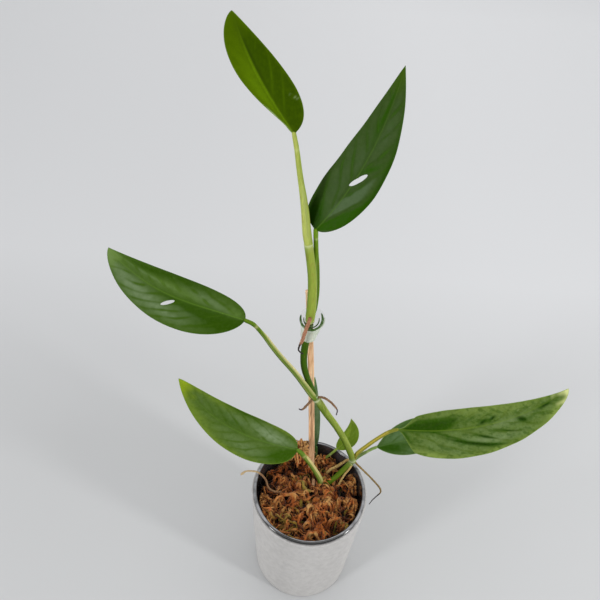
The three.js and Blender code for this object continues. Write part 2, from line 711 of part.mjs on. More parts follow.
function tieSolid() {
  const { foot, rim, wall, sides } = tie;
  const wallPoint = (angle, share, inset) => {
    const flare = share ** tie.flare;
    const centre = vec(foot.centre).lerp(vec(rim.centre), share);
    const halfX = lerp(foot.half[0], rim.half[0], flare) - inset;
    const halfY = lerp(foot.half[1], rim.half[1], flare) - inset;
    const droop = share * tie.droop * Math.sin(angle);
    return centre.add(vec([halfX * Math.cos(angle), halfY * Math.sin(angle), droop]));
  };
  const levels = [0, 0.5, 1];
  const section = (angle) => [
    ...levels.map((share) => wallPoint(angle, share, 0)),
    ...levels.toReversed().map((share) => wallPoint(angle, share, wall)),
  ];
  const rows = Array.from({ length: sides }, (_, i) => section((2 * Math.PI * i) / sides));
  const around = rows[0].length;
  const triangles = [];
  for (let i = 0; i < sides; i += 1) {
    for (let j = 0; j < around; j += 1) {
      const nextRow = ((i + 1) % sides) * around;
      const nextColumn = (j + 1) % around;
      const a = i * around + j;
      const b = i * around + nextColumn;
      const c = nextRow + nextColumn;
      const d = nextRow + j;
      triangles.push([a, c, b], [a, d, c]);
    }
  }
  return toSolid(closedGeometry(rows.flat(), triangles));
}

// Assembly

const potted = new THREE.Group();
const pots = new THREE.Group();
const plant = new THREE.Group();
potted.add(pots, plant);

function place(group, name, solid, material) {
  const mesh = new THREE.Mesh(toGeometry(solid), material);
  mesh.name = name;
  group.add(mesh);
}

const stakeClearance = stakeSolid(GAP);
const stalkClearances = stalks.map((stalk) => stalkSolid(stalk, GAP));
const rootClearances = Object.values(roots).map((root) => rootSolid(root, GAP));

place(pots, 'outer_pot', coverPotSolid(), finishes.concrete());
place(pots, 'inner_pot', nurseryPotSolid(), finishes.blackPlastic());
place(plant, 'wooden_stake', stakeSolid(), finishes.wood());
place(plant, 'tie_band', tieSolid(), finishes.clearBand());
place(plant, 'main_stem', stemSolid(), finishes.stem());
stalks.forEach((stalk, i) => {
  const taken = [stemClearance, stakeClearance, ...stalkClearances.slice(0, i)];
  const solid = stalk.freeFoot ? stalkSolid(stalk) : mainBody(cut(stalkSolid(stalk), taken));
  place(plant, `petiole_${i + 1}`, solid, finishes.stalk(stalk.color));
});
blades.forEach((blade, i) => {
  const solid = mainBody(cut(bladeSolid(blade), [stalkClearances[i]]));
  place(plant, `leaf_blade_${i + 1}`, solid, finishes.blade(blade.color));
});
Object.entries(roots).forEach(([name, root]) => {
  const solid = mainBody(cut(rootSolid(root), [stemClearance, stakeClearance, ...stalkClearances]));
  place(plant, name, solid, finishes[root.tone]());
});
const neighbours = [stemClearance, stakeClearance, ...stalkClearances, ...rootClearances];
place(pots, 'moss_bed', mossSolid(neighbours), finishes.moss());

export default potted;
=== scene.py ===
"""The looks of a potted monstera obliqua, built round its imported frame.

Sizes stand in millimetres in the classes below and become metres when a mesh is made. Every piece lies
where its CAD node lies: the limbs' curves and the blades' surfaces use the CAD source's formulas.
"""

import logging
import math
from collections.abc import Callable, Sequence
from dataclasses import dataclass, field, replace
from enum import Enum

import bpy
import numpy as np
from mathutils import Matrix, Vector


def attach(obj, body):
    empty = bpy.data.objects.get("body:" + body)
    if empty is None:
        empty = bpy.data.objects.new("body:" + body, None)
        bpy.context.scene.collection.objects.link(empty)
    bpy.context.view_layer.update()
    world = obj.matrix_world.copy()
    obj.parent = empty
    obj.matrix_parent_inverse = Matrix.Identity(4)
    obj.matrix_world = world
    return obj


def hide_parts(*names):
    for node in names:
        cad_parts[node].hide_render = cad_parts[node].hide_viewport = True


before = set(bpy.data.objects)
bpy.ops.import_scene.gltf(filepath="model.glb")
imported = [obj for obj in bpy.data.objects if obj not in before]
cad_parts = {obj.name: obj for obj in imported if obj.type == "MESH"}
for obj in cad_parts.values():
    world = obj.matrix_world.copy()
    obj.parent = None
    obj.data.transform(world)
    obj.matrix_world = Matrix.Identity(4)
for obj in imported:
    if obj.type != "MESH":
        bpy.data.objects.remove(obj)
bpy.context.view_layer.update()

Array = np.ndarray
Row = tuple[float, ...]
Section = tuple[Array, dict[str, Array]]
Draws = np.random.Generator
Piece = bpy.types.Object
Material = bpy.types.Material
Socket = bpy.types.NodeSocket

# Metres in a millimetre, and the gap in mm that the CAD leaves between a piece and what it grows from.
MM = 0.001
GAP = 0.3
BODY = "root"
LOG = logging.getLogger("potted_monstera")


class Slot(Enum):
    """The record's material slots."""

    POT = "pot_ceramic"
    PLASTIC = "black_plastic"
    MOSS = "dried_moss"
    WOOD = "pale_wood"
    BAND = "milky_band"
    STEM = "stem_green"
    STALK = "stalk_green"
    YOUNG_LEAF = "young_leaf"
    MATURE_LEAF = "mature_leaf"
    BROWN_ROOT = "brown_root"
    STRAW_ROOT = "straw_root"


# Numbers, vectors and unevenness


def unit(vectors: Array) -> Array:
    """Vectors along the last axis, each scaled to length one."""
    return vectors / np.linalg.norm(vectors, axis=-1, keepdims=True)


def smooth(low: float, high: float, x: Array) -> Array:
    """Rises from 0 at low to 1 at high with no corner."""
    share = np.clip((x - low) / (high - low), 0, 1)
    return share * share * (3 - 2 * share)


def peak(x: Array, width: float | Array) -> Array:
    """A bell of height one round zero that has fallen to 1/e at width."""
    return np.exp(-((x / width) ** 2))


def full_turn(count: int) -> Array:
    """The angles of count even steps round a circle, in radians."""
    return np.arange(count) * 2 * math.pi / count


def between(start: Row, stop: Row, share: Array | float) -> Array:
    """Points on the straight line from start to stop, at one share or at shares that stand in a column."""
    return np.array(start) + (np.array(stop) - np.array(start)) * share


def running_length(points: Array) -> Array:
    """Distance walked along a line of points, from 0 at the first."""
    return np.concatenate([[0], np.cumsum(np.linalg.norm(np.diff(points, axis=0), axis=1))])


def ripples(points: Array, size: float, seed: int, waves: int = 14) -> Array:
    """Seeded smooth unevenness: sine waves in random directions, summed.

    Args:
        points: positions in mm, along the last axis.
        size: how long a typical wave is, in mm.
        seed: picks the directions and lengths.
        waves: how many sines are summed.

    Returns:
        One value a point, mostly within -1.5..1.5.
    """
    random = np.random.default_rng(seed)
    heading = unit(random.normal(size=(waves, points.shape[-1])))
    pace = 2 * math.pi / size * random.uniform(0.55, 1.7, waves)
    phase = random.uniform(0, 2 * math.pi, waves)
    return np.sin(points @ (heading * pace[:, None]).T + phase).sum(-1) / math.sqrt(waves)


def centripetal(points: Array, along: Array) -> tuple[Array, Array]:
    """A centripetal Catmull-Rom curve: spans are cubics whose end slopes weigh the neighbours' chords.

    Args:
        points: the control points, one a row.
        along: where to read the curve, 0 at the first point and 1 at the last.

    Returns:
        The positions and the unit tangents there.
    """
    spans = len(points) - 1
    ends = np.vstack([2 * points[0] - points[1], points, 2 * points[-1] - points[-2]])
    span = np.clip((along * spans).astype(int), 0, spans - 1)
    w = (along * spans - span)[:, None]
    p0, p1, p2, p3 = (ends[span + k] for k in range(4))
    chords = ((p0, p1), (p1, p2), (p2, p3))
    d0, d1, d2 = (np.sqrt(np.linalg.norm(b - a, axis=1))[:, None] for a, b in chords)
    t1 = ((p1 - p0) / d0 - (p2 - p0) / (d0 + d1) + (p2 - p1) / d1) * d1
    t2 = ((p2 - p1) / d1 - (p3 - p1) / (d1 + d2) + (p3 - p2) / d2) * d1
    c2 = -3 * p1 + 3 * p2 - 2 * t1 - t2
    c3 = 2 * p1 - 2 * p2 + t1 + t2
    return p1 + t1 * w + c2 * w**2 + c3 * w**3, unit(t1 + 2 * c2 * w + 3 * c3 * w**2)


# Meshes


@dataclass
class Shape:
    """A mesh in the making.

    Attributes:
        points: positions in mm.
        quads: faces of four corners.
        tris: faces of three corners.
        values: numbers that a material reads, one a point.
    """

    points: Array
    quads: Array
    tris: Array = field(default_factory=lambda: np.zeros((0, 3), int))
    values: dict[str, Array] = field(default_factory=dict)

    @staticmethod
    def joined(shapes: Sequence["Shape"]) -> "Shape":
        """Several shapes as one, each keeping its own points.

        Args:
            shapes: the parts, which carry the same values.

        Returns:
            The whole.
        """
        starts = np.cumsum([0] + [len(s.points) for s in shapes[:-1]])
        names = shapes[0].values
        return Shape(
            np.concatenate([s.points for s in shapes]),
            np.concatenate([s.quads + k for s, k in zip(shapes, starts)]),
            np.concatenate([s.tris + k for s, k in zip(shapes, starts)]),
            {n: np.concatenate([s.values[n] for s in shapes]) for n in names},
        )

    def piece(self, name: str) -> Piece:
        """Puts the shape into a mesh object at the origin, smooth shaded, in metres.

        Args:
            name: the object's name.

        Returns:
            The object, linked to the scene.
        """
        mesh = bpy.data.meshes.new(name)
        corners = np.concatenate([self.quads.ravel(), self.tris.ravel()]).astype(np.int32)
        sizes = np.concatenate([np.full(len(self.quads), 4), np.full(len(self.tris), 3)])
        mesh.vertices.add(len(self.points))
        mesh.vertices.foreach_set("co", (self.points * MM).astype(np.float32).ravel())
        mesh.loops.add(len(corners))
        mesh.loops.foreach_set("vertex_index", corners)
        mesh.polygons.add(len(sizes))
        mesh.polygons.foreach_set("loop_start", (np.cumsum(sizes) - sizes).astype(np.int32))
        mesh.update(calc_edges=True)
        mesh.shade_smooth()
        for key, value in self.values.items():
            mesh.attributes.new(key, "FLOAT", "POINT").data.foreach_set("value", value.astype(np.float32))
        made = bpy.data.objects.new(name, mesh)
        bpy.context.scene.collection.objects.link(made)
        return made


def grid_quads(rows: int, columns: int, around: bool) -> Array:
    """The faces of a grid of points, row by row.

    Args:
        rows, columns: the grid's size.
        around: whether the last column meets the first.

    Returns:
        Four point numbers a face.
    """
    i, j = np.meshgrid(np.arange(rows - 1), np.arange(columns if around else columns - 1), indexing="ij")
    a, b = i * columns + j, i * columns + (j + 1) % columns
    return np.stack([a, b, b + columns, a + columns], -1).reshape(-1, 4)


def closed_tube(rings: Array, values: dict[str, Array]) -> Shape:
    """A tube through rings of points, closed at both ends by a fan to the ring's middle.

    Args:
        rings: positions with the axes ring, corner and xyz, counter-clockwise seen from the last ring.
        values: numbers with the axes ring and corner.

    Returns:
        The closed tube, facing out.
    """
    rows, sides = rings.shape[:2]
    total = rows * sides
    j = np.arange(sides)
    after = (j + 1) % sides
    last = total - sides
    foot = np.stack([np.full(sides, total), after, j], -1)
    head = np.stack([np.full(sides, total + 1), last + j, last + after], -1)
    points = np.vstack([rings.reshape(-1, 3), rings[0].mean(0), rings[-1].mean(0)])
    ended = {k: np.append(v.ravel(), [v[0].mean(), v[-1].mean()]) for k, v in values.items()}
    return Shape(points, grid_quads(rows, sides, True), np.concatenate([foot, head]), ended)


def swept_round(rows: Array, angle: Array) -> Array:
    """Rows of (radius, height) carried round Z to each angle, with the axes row, angle and xyz."""
    out, up = rows[:, :1], np.broadcast_to(rows[:, 1:], (len(rows), len(angle)))
    return np.stack([out * np.cos(angle), out * np.sin(angle), up], -1)


def turned(profile: Array, segments: int, relief: Callable[[Array, Array], Array]) -> Shape:
    """A profile of (radius, height) rows turned about Z, from its first point on the axis to its last.

    Args:
        profile: rows of radius and height that run outward below, up, and back to the axis.
        segments: steps of the turn.
        relief: moves the points: takes the positions and their outward normals and gives new positions.

    Returns:
        The closed solid with the value `height`.
    """
    angle = full_turn(segments)
    ring = profile[1:-1]
    slope = np.gradient(ring, axis=0)
    outward = unit(np.stack([slope[:, 1], -slope[:, 0]], -1))
    points = relief(swept_round(ring, angle), swept_round(outward, angle))
    shape = closed_tube(points, {"height": points[..., 2]})
    shape.points[-2:] = [[0, 0, profile[0][1]], [0, 0, profile[-1][1]]]
    return shape


def arc(centre: Row, radius: float, start: float, end: float, steps: int) -> list[Row]:
    """Points of a circle's arc in the plane of radius and height, angles in degrees."""
    angles = np.radians(np.linspace(start, end, steps + 1))
    return [(centre[0] + radius * math.cos(t), centre[1] + radius * math.sin(t)) for t in angles]


def subdivided(profile: Sequence[Row], step: float) -> Array:
    """A profile with points added on its straight lines.

    Args:
        profile: its corners.
        step: how far apart two points may lie.

    Returns:
        All its points, one a row.
    """
    made = [np.array(profile[0], float)]
    for a, b in zip(profile[:-1], profile[1:]):
        count = max(1, math.ceil(math.dist(a, b) / step))
        made += [between(a, b, k / count) for k in range(1, count + 1)]
    return np.array(made)


def thickened(points: Array, normals: Array, faces: Array,
              above: Array, below: Array) -> tuple[Array, Array, Array]:
    """Makes a closed wall from a sheet: both faces, and a band along every open edge, holes too.

    Args:
        points: the middle surface.
        normals: its unit normals.
        faces: its quads, counter-clockwise seen from the normals' side.
        above: thickness on the normals' side, one a point.
        below: thickness on the other side.

    Returns:
        The wall's points, its quads, and the sheet's point that each wall point comes from.
    """
    kept = np.unique(faces)
    number = np.full(len(points), -1)
    number[kept] = np.arange(len(kept))
    top = number[faces]
    count = len(kept)
    starts, ends = top.ravel(), np.roll(top, -1, axis=1).ravel()
    one_way, back = starts * count + ends, ends * count + starts
    rim = ~np.isin(one_way, back)
    p, q = starts[rim], ends[rim]
    quads = np.concatenate([top, top[:, ::-1] + count, np.stack([p + count, q + count, q, p], -1)])
    upper = points[kept] + normals[kept] * above[kept][:, None]
    lower = points[kept] - normals[kept] * below[kept][:, None]
    return np.vstack([upper, lower]), quads, np.concatenate([kept, kept])


# Materials


def linear(colour: str) -> tuple[float, float, float, float]:
    """A hex colour as Blender's linear colour."""
    parts = [int(colour[k:k + 2], 16) / 255 for k in (1, 3, 5)]
    return (*(c / 12.92 if c <= 0.04045 else ((c + 0.055) / 1.055) ** 2.4 for c in parts), 1.0)


def as_input(value: object) -> object:
    """A hex colour as Blender's linear colour, and any other value as it is."""
    return linear(value) if isinstance(value, str) else value


class Shader:
    """A material's nodes round one Principled shader, with short calls that add and join them."""

    def __init__(self, name: str, **fixed: float | str) -> None:
        """Starts the material.

        Args:
            name: the material's name.
            **fixed: the shader's plain inputs, with _ for a space. A text is a hex colour.
        """
        self.material = bpy.data.materials.new(name)
        self.material.use_nodes = True
        self.tree = self.material.node_tree
        self.surface = self.tree.nodes["Principled BSDF"]
        for key, value in fixed.items():
            self.surface.inputs[key.replace("_", " ")].default_value = as_input(value)
        self.place = self.tree.nodes.new("ShaderNodeTexCoord").outputs["Object"]

    def node(self, kind: str, inputs: dict[str | int, object], **settings: object) -> bpy.types.Node:
        """Adds a node.

        Args:
            kind: its type, without the leading ShaderNode.
            inputs: what goes into each: a socket is joined, a text is a hex colour, a number is set.
            **settings: the node's own settings.

        Returns:
            The node.
        """
        made = self.tree.nodes.new("ShaderNode" + kind)
        for key, value in settings.items():
            setattr(made, key, value)
        for key, value in inputs.items():
            if isinstance(value, Socket):
                self.tree.links.new(value, made.inputs[key])
            else:
                made.inputs[key].default_value = as_input(value)
        return made

    def stretched(self, sx: float, sy: float, sz: float) -> Socket:
        """Object coordinates scaled differently along the three axes."""
        return self.node("Mapping", {"Vector": self.place, "Scale": (sx, sy, sz)}).outputs[0]

    def axes(self) -> tuple[Socket, Socket, Socket]:
        """The object's x, y and z, in metres."""
        return tuple(self.node("SeparateXYZ", {0: self.place}).outputs)

    def noise(self, size: float, detail: float = 2.0, vector: Socket | None = None) -> Socket:
        """Noise whose lumps are about size mm."""
        inputs = {"Vector": vector or self.place, "Scale": 1 / (size * MM), "Detail": detail}
        return self.node("TexNoise", inputs).outputs["Fac"]

    def cells(self, size: float, feature: str = "F1") -> Socket:
        """Distance in a pattern of cells of about size mm."""
        inputs = {"Vector": self.place, "Scale": 1 / (size * MM)}
        return self.node("TexVoronoi", inputs, feature=feature).outputs["Distance"]

    def value(self, name: str) -> Socket:
        """A number that the mesh carries."""
        return self.node("Attribute", {}, attribute_name=name).outputs["Fac"]

    def span(self, fac: Socket, low: float, high: float, first: float = 0.0, last: float = 1.0) -> Socket:
        """Maps low..high to first..last, held at the ends."""
        inputs = {"Value": fac, "From Min": low, "From Max": high, "To Min": first, "To Max": last}
        return self.node("MapRange", inputs).outputs[0]

    def math(self, kind: str, a: Socket | float, b: Socket | float) -> Socket:
        """One step of arithmetic, such as SUBTRACT."""
        return self.node("Math", {0: a, 1: b}, operation=kind).outputs[0]

    def times(self, a: Socket | float, b: Socket | float) -> Socket:
        """The product of two numbers."""
        return self.math("MULTIPLY", a, b)

    def plus(self, a: Socket | float, b: Socket | float) -> Socket:
        """The sum of two numbers."""
        return self.math("ADD", a, b)

    def blend(self, fac: Socket | float, a: Socket | str, b: Socket | str, kind: str = "MIX") -> Socket:
        """Mixes colour b over colour a."""
        return self.node("Mix", {0: fac, 6: a, 7: b}, data_type="RGBA", blend_type=kind).outputs[2]

    def ramp(self, fac: Socket, *stops: tuple[float, str]) -> Socket:
        """Colours along a number.

        Args:
            fac: the number.
            *stops: positions and hex colours, lowest first.

        Returns:
            The colour.
        """
        made = self.node("ValToRGB", {0: fac})
        band = made.color_ramp
        while len(band.elements) < len(stops):
            band.elements.new(1.0)
        for element, (position, colour) in zip(band.elements, stops):
            element.position, element.color = position, linear(colour)
        return made.outputs[0]

    def finish(self, colour: Socket, roughness: Socket, relief: Socket | None = None,
               height: float = 0.1, strength: float = 0.5) -> Material:
        """Joins what was worked out to the shader.

        Args:
            colour: the base colour.
            roughness: how dull it is.
            relief: a height for the bump, if it has one.
            height: how far the bump rises, in mm.
            strength: how strongly it shades.

        Returns:
            The material.
        """
        self.tree.links.new(colour, self.surface.inputs["Base Color"])
        self.tree.links.new(roughness, self.surface.inputs["Roughness"])
        if relief is not None:
            bump = self.node("Bump", {"Height": relief, "Distance": height * MM, "Strength": strength})
            self.tree.links.new(bump.outputs[0], self.surface.inputs["Normal"])
        return self.material


def dress(piece: Piece, material: Material, slot: Slot, *nodes: str) -> Piece:
    """Gives a piece its material, rides it on the body and hides the CAD nodes it stands for.

    Args:
        piece: the finished object.
        material: its look.
        slot: its slot in the record; not used.
        *nodes: the CAD nodes that it replaces.

    Returns:
        The piece.
    """
    piece.data.materials.clear()
    piece.data.materials.append(material)
    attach(piece, BODY)
    if nodes:
        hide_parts(*nodes)
    LOG.info("%s: %d faces, for %s", piece.name, len(piece.data.polygons), ", ".join(nodes) or "no node")
    return piece


# Pots


@dataclass(frozen=True)
class CastStone:
    """Pale cast stone: warm grey, faint clouds, fine pale and dark specks, dark pores."""

    pale: str = "#c4c2c0"
    shade: str = "#bbb9b7"
    speck: str = "#8c8984"

    def material(self) -> Material:
        """Clouds of two greys under specks from a fine noise, with pores from cells as bump.

        Returns:
            The material.
        """
        s = Shader("cast_stone", Specular_IOR_Level=0.25)
        clouds = s.blend(s.span(s.noise(5, 5), 0.35, 0.65), self.shade, self.pale)
        grain = s.noise(0.5, 3)
        specks = s.span(s.noise(0.8, 2), 0.6, 0.72)
        pores = s.span(s.cells(1.5), 0.1, 0.24, 1, 0)
        holes = s.times(pores, s.span(s.noise(4, 1), 0.52, 0.6))
        colour = s.blend(s.times(specks, 0.3), clouds, self.speck)
        colour = s.blend(s.times(holes, 0.45), colour, self.speck)
        relief = s.math("SUBTRACT", grain, s.times(holes, 1.5))
        return s.finish(colour, s.span(grain, 0.3, 0.7, 0.8, 0.95), relief, 0.07, 0.5)


@dataclass(frozen=True)
class GlossyPlastic:
    """Thin black plastic with a dusty inside and a glossy lip, with a pale reflection painted on the lip's
    sides and painted light on the back inner wall.
    """

    black: str = "#0b0b0d"
    dusty: str = "#38332f"
    # the pale colour of the lip's painted reflection, and where its band lies
    reflection_grey: str = "#9c9ca0"
    # painted light: the back inner wall is greyer where light falls on it
    lit_wall_grey: str = "#404045"
    glossy_from: float = 110.4
    reflection_radius: float = 43.4
    reflection_from: float = 111.8
    reflection_sides: Row = (22, 36)
    reflection_width: Row = (0.3, 1.0)

    def material(self) -> Material:
        """Dust from noise below the lip, a band of painted reflection round its sides, and fine scratches.

        The inside is dustier and greyer towards the back: the grey is painted light on the back wall, and
        being less dusty at the front is painted shade there. The band is the ring where the distance from the
        axis is close to the reflection's radius, wider and further out at the pot's two sides.

        Returns:
            The material.
        """
        s = Shader("glossy_black_plastic", Specular_IOR_Level=0.7, Coat_Weight=0.6, Coat_Roughness=0.06)
        x, y, height = s.axes()
        inside = s.span(height, self.glossy_from * MM, (self.glossy_from - 2) * MM)
        # Dust from noise below the lip, fading towards the front, where the fading is painted shade
        dust_and_front_shade = s.times(s.times(inside, s.span(s.noise(5, 5), 0.38, 0.62)), s.span(y, 0.0, 0.025, 0.25, 1.0))
        # painted light: the inner wall is greyer towards the back
        plain = s.blend(s.span(y, 0.0, 0.03), self.black, self.lit_wall_grey)
        colour = s.blend(dust_and_front_shade, plain, self.dusty)
        # painted reflection: a pale band on the lip, wider and further out at the pot's sides, broken up by
        # noise
        radius = s.math("POWER", s.plus(s.times(x, x), s.times(y, y)), 0.5)
        sides = s.span(s.math("ABSOLUTE", x, 0.0), *(side * MM for side in self.reflection_sides))
        middle = s.span(sides, 0, 1, (self.reflection_radius - 0.9) * MM, self.reflection_radius * MM)
        wide = s.span(sides, 0, 1, *(width * MM for width in self.reflection_width))
        off = s.math("ABSOLUTE", s.math("SUBTRACT", radius, middle), 0.0)
        band = s.span(s.math("DIVIDE", off, wide), 0.6, 1.4, 1, 0)
        reflection_breakup = s.span(s.noise(6, 3), 0.35, 0.6, 0.4, 1.0)
        top = s.span(height, self.reflection_from * MM, (self.reflection_from + 0.6) * MM)
        reflection_mask = s.times(s.times(band, top), reflection_breakup)
        colour = s.blend(reflection_mask, colour, self.reflection_grey)
        scratches = s.span(s.noise(0.6, 2, s.stretched(1, 1, 0.1)), 0.3, 0.7, 0.08, 0.18)
        return s.finish(colour, s.plus(scratches, s.times(dust_and_front_shade, 0.4)), s.noise(1.6, 3), 0.03, 0.3)


@dataclass
class CoverPot:
    """The pale outer pot, straight and tapered, with a slightly chipped rim."""

    height: float = 110.6
    top_radius: float = 45.9
    base_radius: float = 41.3
    wall: float = 3.0
    floor: float = 6.0
    foot_edge: float = 2.5
    rim_edge: float = 1.2
    cove: float = 3.0
    chips: int = 26
    chip_width: Row = (0.008, 0.03)
    chip_depth: Row = (0.25, 1.1)
    step: float = 1.8
    segments: int = 264
    finish: CastStone = CastStone()

    def profile(self) -> list[Row]:
        """The closed section, from the middle of the base round to the middle of the floor.

        Returns:
            Rows of radius and height.
        """
        return [
            (0.0, 0.0),
            *arc((self.base_radius - self.foot_edge, self.foot_edge), self.foot_edge, -90, 0, 8),
            *arc((self.top_radius - self.rim_edge, self.height - self.rim_edge), self.rim_edge, 0, 90, 6),
            (self.top_radius - self.wall, self.height),
            (self.base_radius - self.wall + 0.4, self.floor + self.cove),
            (self.base_radius - self.wall + 0.4 - self.cove, self.floor),
            (0.0, self.floor),
        ]

    def weathered(self, points: Array, normals: Array) -> Array:
        """Casting unevenness along the normals, and small seeded chips that lower the rim.

        Args:
            points: the turned surface.
            normals: its outward normals.

        Returns:
            The moved points.
        """
        random = np.random.default_rng(5)
        angle = np.arctan2(points[..., 1], points[..., 0])
        uneven = 0.02 * ripples(points, 3.2, 1) + 0.03 * ripples(points, 14, 2)
        wall = smooth(1.0, 4.0, points[..., 2]) * smooth(self.height - 0.2, self.height - 1.6, points[..., 2])
        moved = points + normals * (uneven * wall - 0.12 * wall)[..., None]
        near_rim = smooth(self.height - 3.5, self.height - 0.3, points[..., 2])
        depth = np.zeros_like(angle)
        places = random.uniform(-math.pi, 0, self.chips)
        widths = random.uniform(*self.chip_width, self.chips)
        depths = random.uniform(*self.chip_depth, self.chips)
        for turn, width, deep in zip(places, widths, depths):
            depth = np.maximum(depth, deep * peak(angle - turn, width))
        outer = np.hypot(points[..., 0], points[..., 1]) > self.top_radius - 1.4
        moved[..., 2] -= depth * near_rim * outer
        moved[..., :2] *= (1 - 0.012 * depth * near_rim * outer)[..., None]
        return moved

    def build(self) -> None:
        """Turns the section and dresses it as the outer pot."""
        shape = turned(subdivided(self.profile(), self.step), self.segments, self.weathered)
        dress(shape.piece("cover_pot"), self.finish.material(), Slot.POT, "outer_pot")


@dataclass
class NurseryPot:
    """The thin black pot whose lip rests on the cover pot's rim."""

    lip_bottom: float = 110.6
    lip_height: float = 2.2
    lip_radius: float = 44.5
    lip_edge: float = 1.0
    mouth_radius: float = 41.7
    mouth_edge: float = 0.7
    wall: float = 0.8
    bottom: float = 1.2
    cove: float = 1.0
    lean: float = 0.1
    depth: float = 83.0
    foot_radius: float = 34.0
    drain_radius: float = 3.0
    drain_circle: float = 24.0
    drains: int = 8
    step: float = 1.6
    segments: int = 216
    finish: GlossyPlastic = GlossyPlastic()

    @property
    def foot(self) -> float:
        """Height of its underside."""
        return self.lip_bottom - self.depth

    def inside(self, z: float | Array) -> float | Array:
        """Radius of its inner wall, which widens evenly from the cove to the mouth.

        Args:
            z: the height.

        Returns:
            The radius there.
        """
        low = self.foot + self.bottom + self.cove
        share = (z - low) / (self.lip_bottom + self.lip_height - self.mouth_edge - low)
        foot = self.foot_radius - self.wall - self.lean
        return foot + (self.mouth_radius - foot) * share

    def profile(self) -> list[Row]:
        """The closed section, with the lip rolled outward.

        Returns:
            Rows of radius and height.
        """
        top = self.lip_bottom + self.lip_height
        lip, mouth = self.lip_edge, self.mouth_edge
        inner, floor = self.foot_radius - self.wall - self.lean, self.foot + self.bottom
        return [
            (0.0, self.foot),
            (self.foot_radius - 1, self.foot),
            (self.foot_radius, self.foot + 1),
            (self.mouth_radius + self.wall, self.lip_bottom),
            (self.lip_radius - 0.3, self.lip_bottom),
            *arc((self.lip_radius - lip, top - lip), lip, 0, 90, 8),
            *arc((self.mouth_radius + mouth, top - mouth), mouth, 90, 180, 6),
            (inner, floor + self.cove),
            (inner - self.cove, floor),
            (0.0, floor),
        ]

    def bowed(self, points: Array, normals: Array) -> Array:
        """The lip is soft plastic: it waves up a little between where it rests, and its wall bows.

        Args:
            points: the turned surface.
            normals: its outward normals.

        Returns:
            The moved points.
        """
        angle = np.arctan2(points[..., 1], points[..., 0])
        lip = smooth(self.lip_bottom - 1, self.lip_bottom + 1.5, points[..., 2])
        moved = points.copy()
        moved[..., 2] += lip * 0.16 * (1 + np.sin(5 * angle + 1.2)) * 0.5
        wall = smooth(self.foot + 8, self.foot + 30, points[..., 2]) * (1 - lip)
        return moved + normals * (0.05 * ripples(points, 18, 3) * wall)[..., None]

    def build(self) -> None:
        """Turns the section, cuts the drain holes through the base and dresses it as the inner pot."""
        shape = turned(subdivided(self.profile(), self.step), self.segments, self.bowed)
        pot = shape.piece("nursery_pot")
        levels = self.foot + self.bottom / 2 + np.array([-2.0, 2.0])
        drill = swept_round(np.stack([np.full(2, self.drain_radius), levels], -1), full_turn(24))
        turn = full_turn(self.drains)
        centres = self.drain_circle * np.stack([np.cos(turn), np.sin(turn), 0 * turn], -1)
        tool = Shape.joined([closed_tube(drill + centre, {}) for centre in centres]).piece("drain_cutter")
        cut = pot.modifiers.new("drains", "BOOLEAN")
        cut.object, cut.operation, cut.solver = tool, "DIFFERENCE", "EXACT"
        apply_modifiers(pot)
        bpy.data.objects.remove(tool)
        dress(pot, self.finish.material(), Slot.PLASTIC, "inner_pot")


def apply_modifiers(piece: Piece) -> None:
    """Makes the modified mesh the piece's own mesh.

    Args:
        piece: the object with its modifiers.
    """
    graph = bpy.context.evaluated_depsgraph_get()
    mesh = bpy.data.meshes.new_from_object(piece.evaluated_get(graph))
    piece.modifiers.clear()
    piece.data = mesh
    mesh.shade_smooth()


# Moss


@dataclass(frozen=True)
class DriedMoss:
    """Dried sphagnum: fibres from dark brown through rust and tan to straw, a few still olive."""

    dark: str = "#241106"
    rust: str = "#8c4a1c"
    tan: str = "#ba7e40"
    straw: str = "#cf9f60"
    olive: str = "#7f7a24"
    orange: str = "#b85a1c"

    def material(self) -> Material:
        """Colour along the strand's tone, which carries painted light and shade, broken by fibres, with olive
        where it is still green.

        Returns:
            The material.
        """
        s = Shader("dried_moss", Specular_IOR_Level=0.2, Sheen_Weight=0.15)
        tone = s.plus(s.value("tone"), s.span(s.noise(1.1, 3), 0.3, 0.7, -0.16, 0.16))
        colour = s.ramp(tone, (0.05, self.dark), (0.34, self.rust), (0.64, self.tan), (1.0, self.straw))
        colour = s.blend(s.span(s.noise(9, 2), 0.46, 0.6, 0, 0.65), colour, self.orange, "COLOR")
        colour = s.blend(s.value("green"), colour, self.olive)
        return s.finish(colour, s.span(s.noise(2, 1), 0.3, 0.7, 0.78, 0.95), s.noise(0.5, 3), 0.25, 0.7)


@dataclass(frozen=True)
class Tuft:
    """A bunch of strands that stand up from the moss, up to spread away from x, y.

    Its height is counted from the moss, and its tone goes from 0, dark, to 1, pale.
    """

    x: float
    y: float
    spread: float
    height: float
    strands: int
    tone: float


@dataclass(frozen=True)
class Spot:
    """A round place on the moss where something is greater or, if its amount is negative, less."""

    x: float
    y: float
    amount: float
    radius: float

    def weight(self, x: Array, y: Array) -> Array:
        """The amount times a bell over the distance from the place."""
        return self.amount * peak(np.hypot(x - self.x, y - self.y), self.radius)

    @staticmethod
    def total(spots: Sequence["Spot"], places: Array) -> Array:
        """What several places come to, at positions whose first two numbers are x and y."""
        return sum(spot.weight(places[..., 0], places[..., 1]) for spot in spots)


@dataclass(frozen=True)
class Fibre:
    """How a strand of moss is made.

    Attributes:
        rings: points along it.
        thick: the thinnest and thickest radius, in mm.
        sides: corners of its section.
        flat: its section's height over its width.
    """

    rings: int
    thick: Row
    sides: int
    flat: float


@dataclass(frozen=True)
class StrandKind:
    """One kind of loose strand.

    Attributes:
        name: its piece.
        count: how many lie on the moss.
        length: the shortest and longest, in mm.
        curl: spread of the turn over a strand, in radians.
        rise: the lowest and highest hump over the moss, in mm.
        fibre: how each is made.
    """

    name: str
    count: int
    length: Row
    curl: float
    rise: Row
    fibre: Fibre


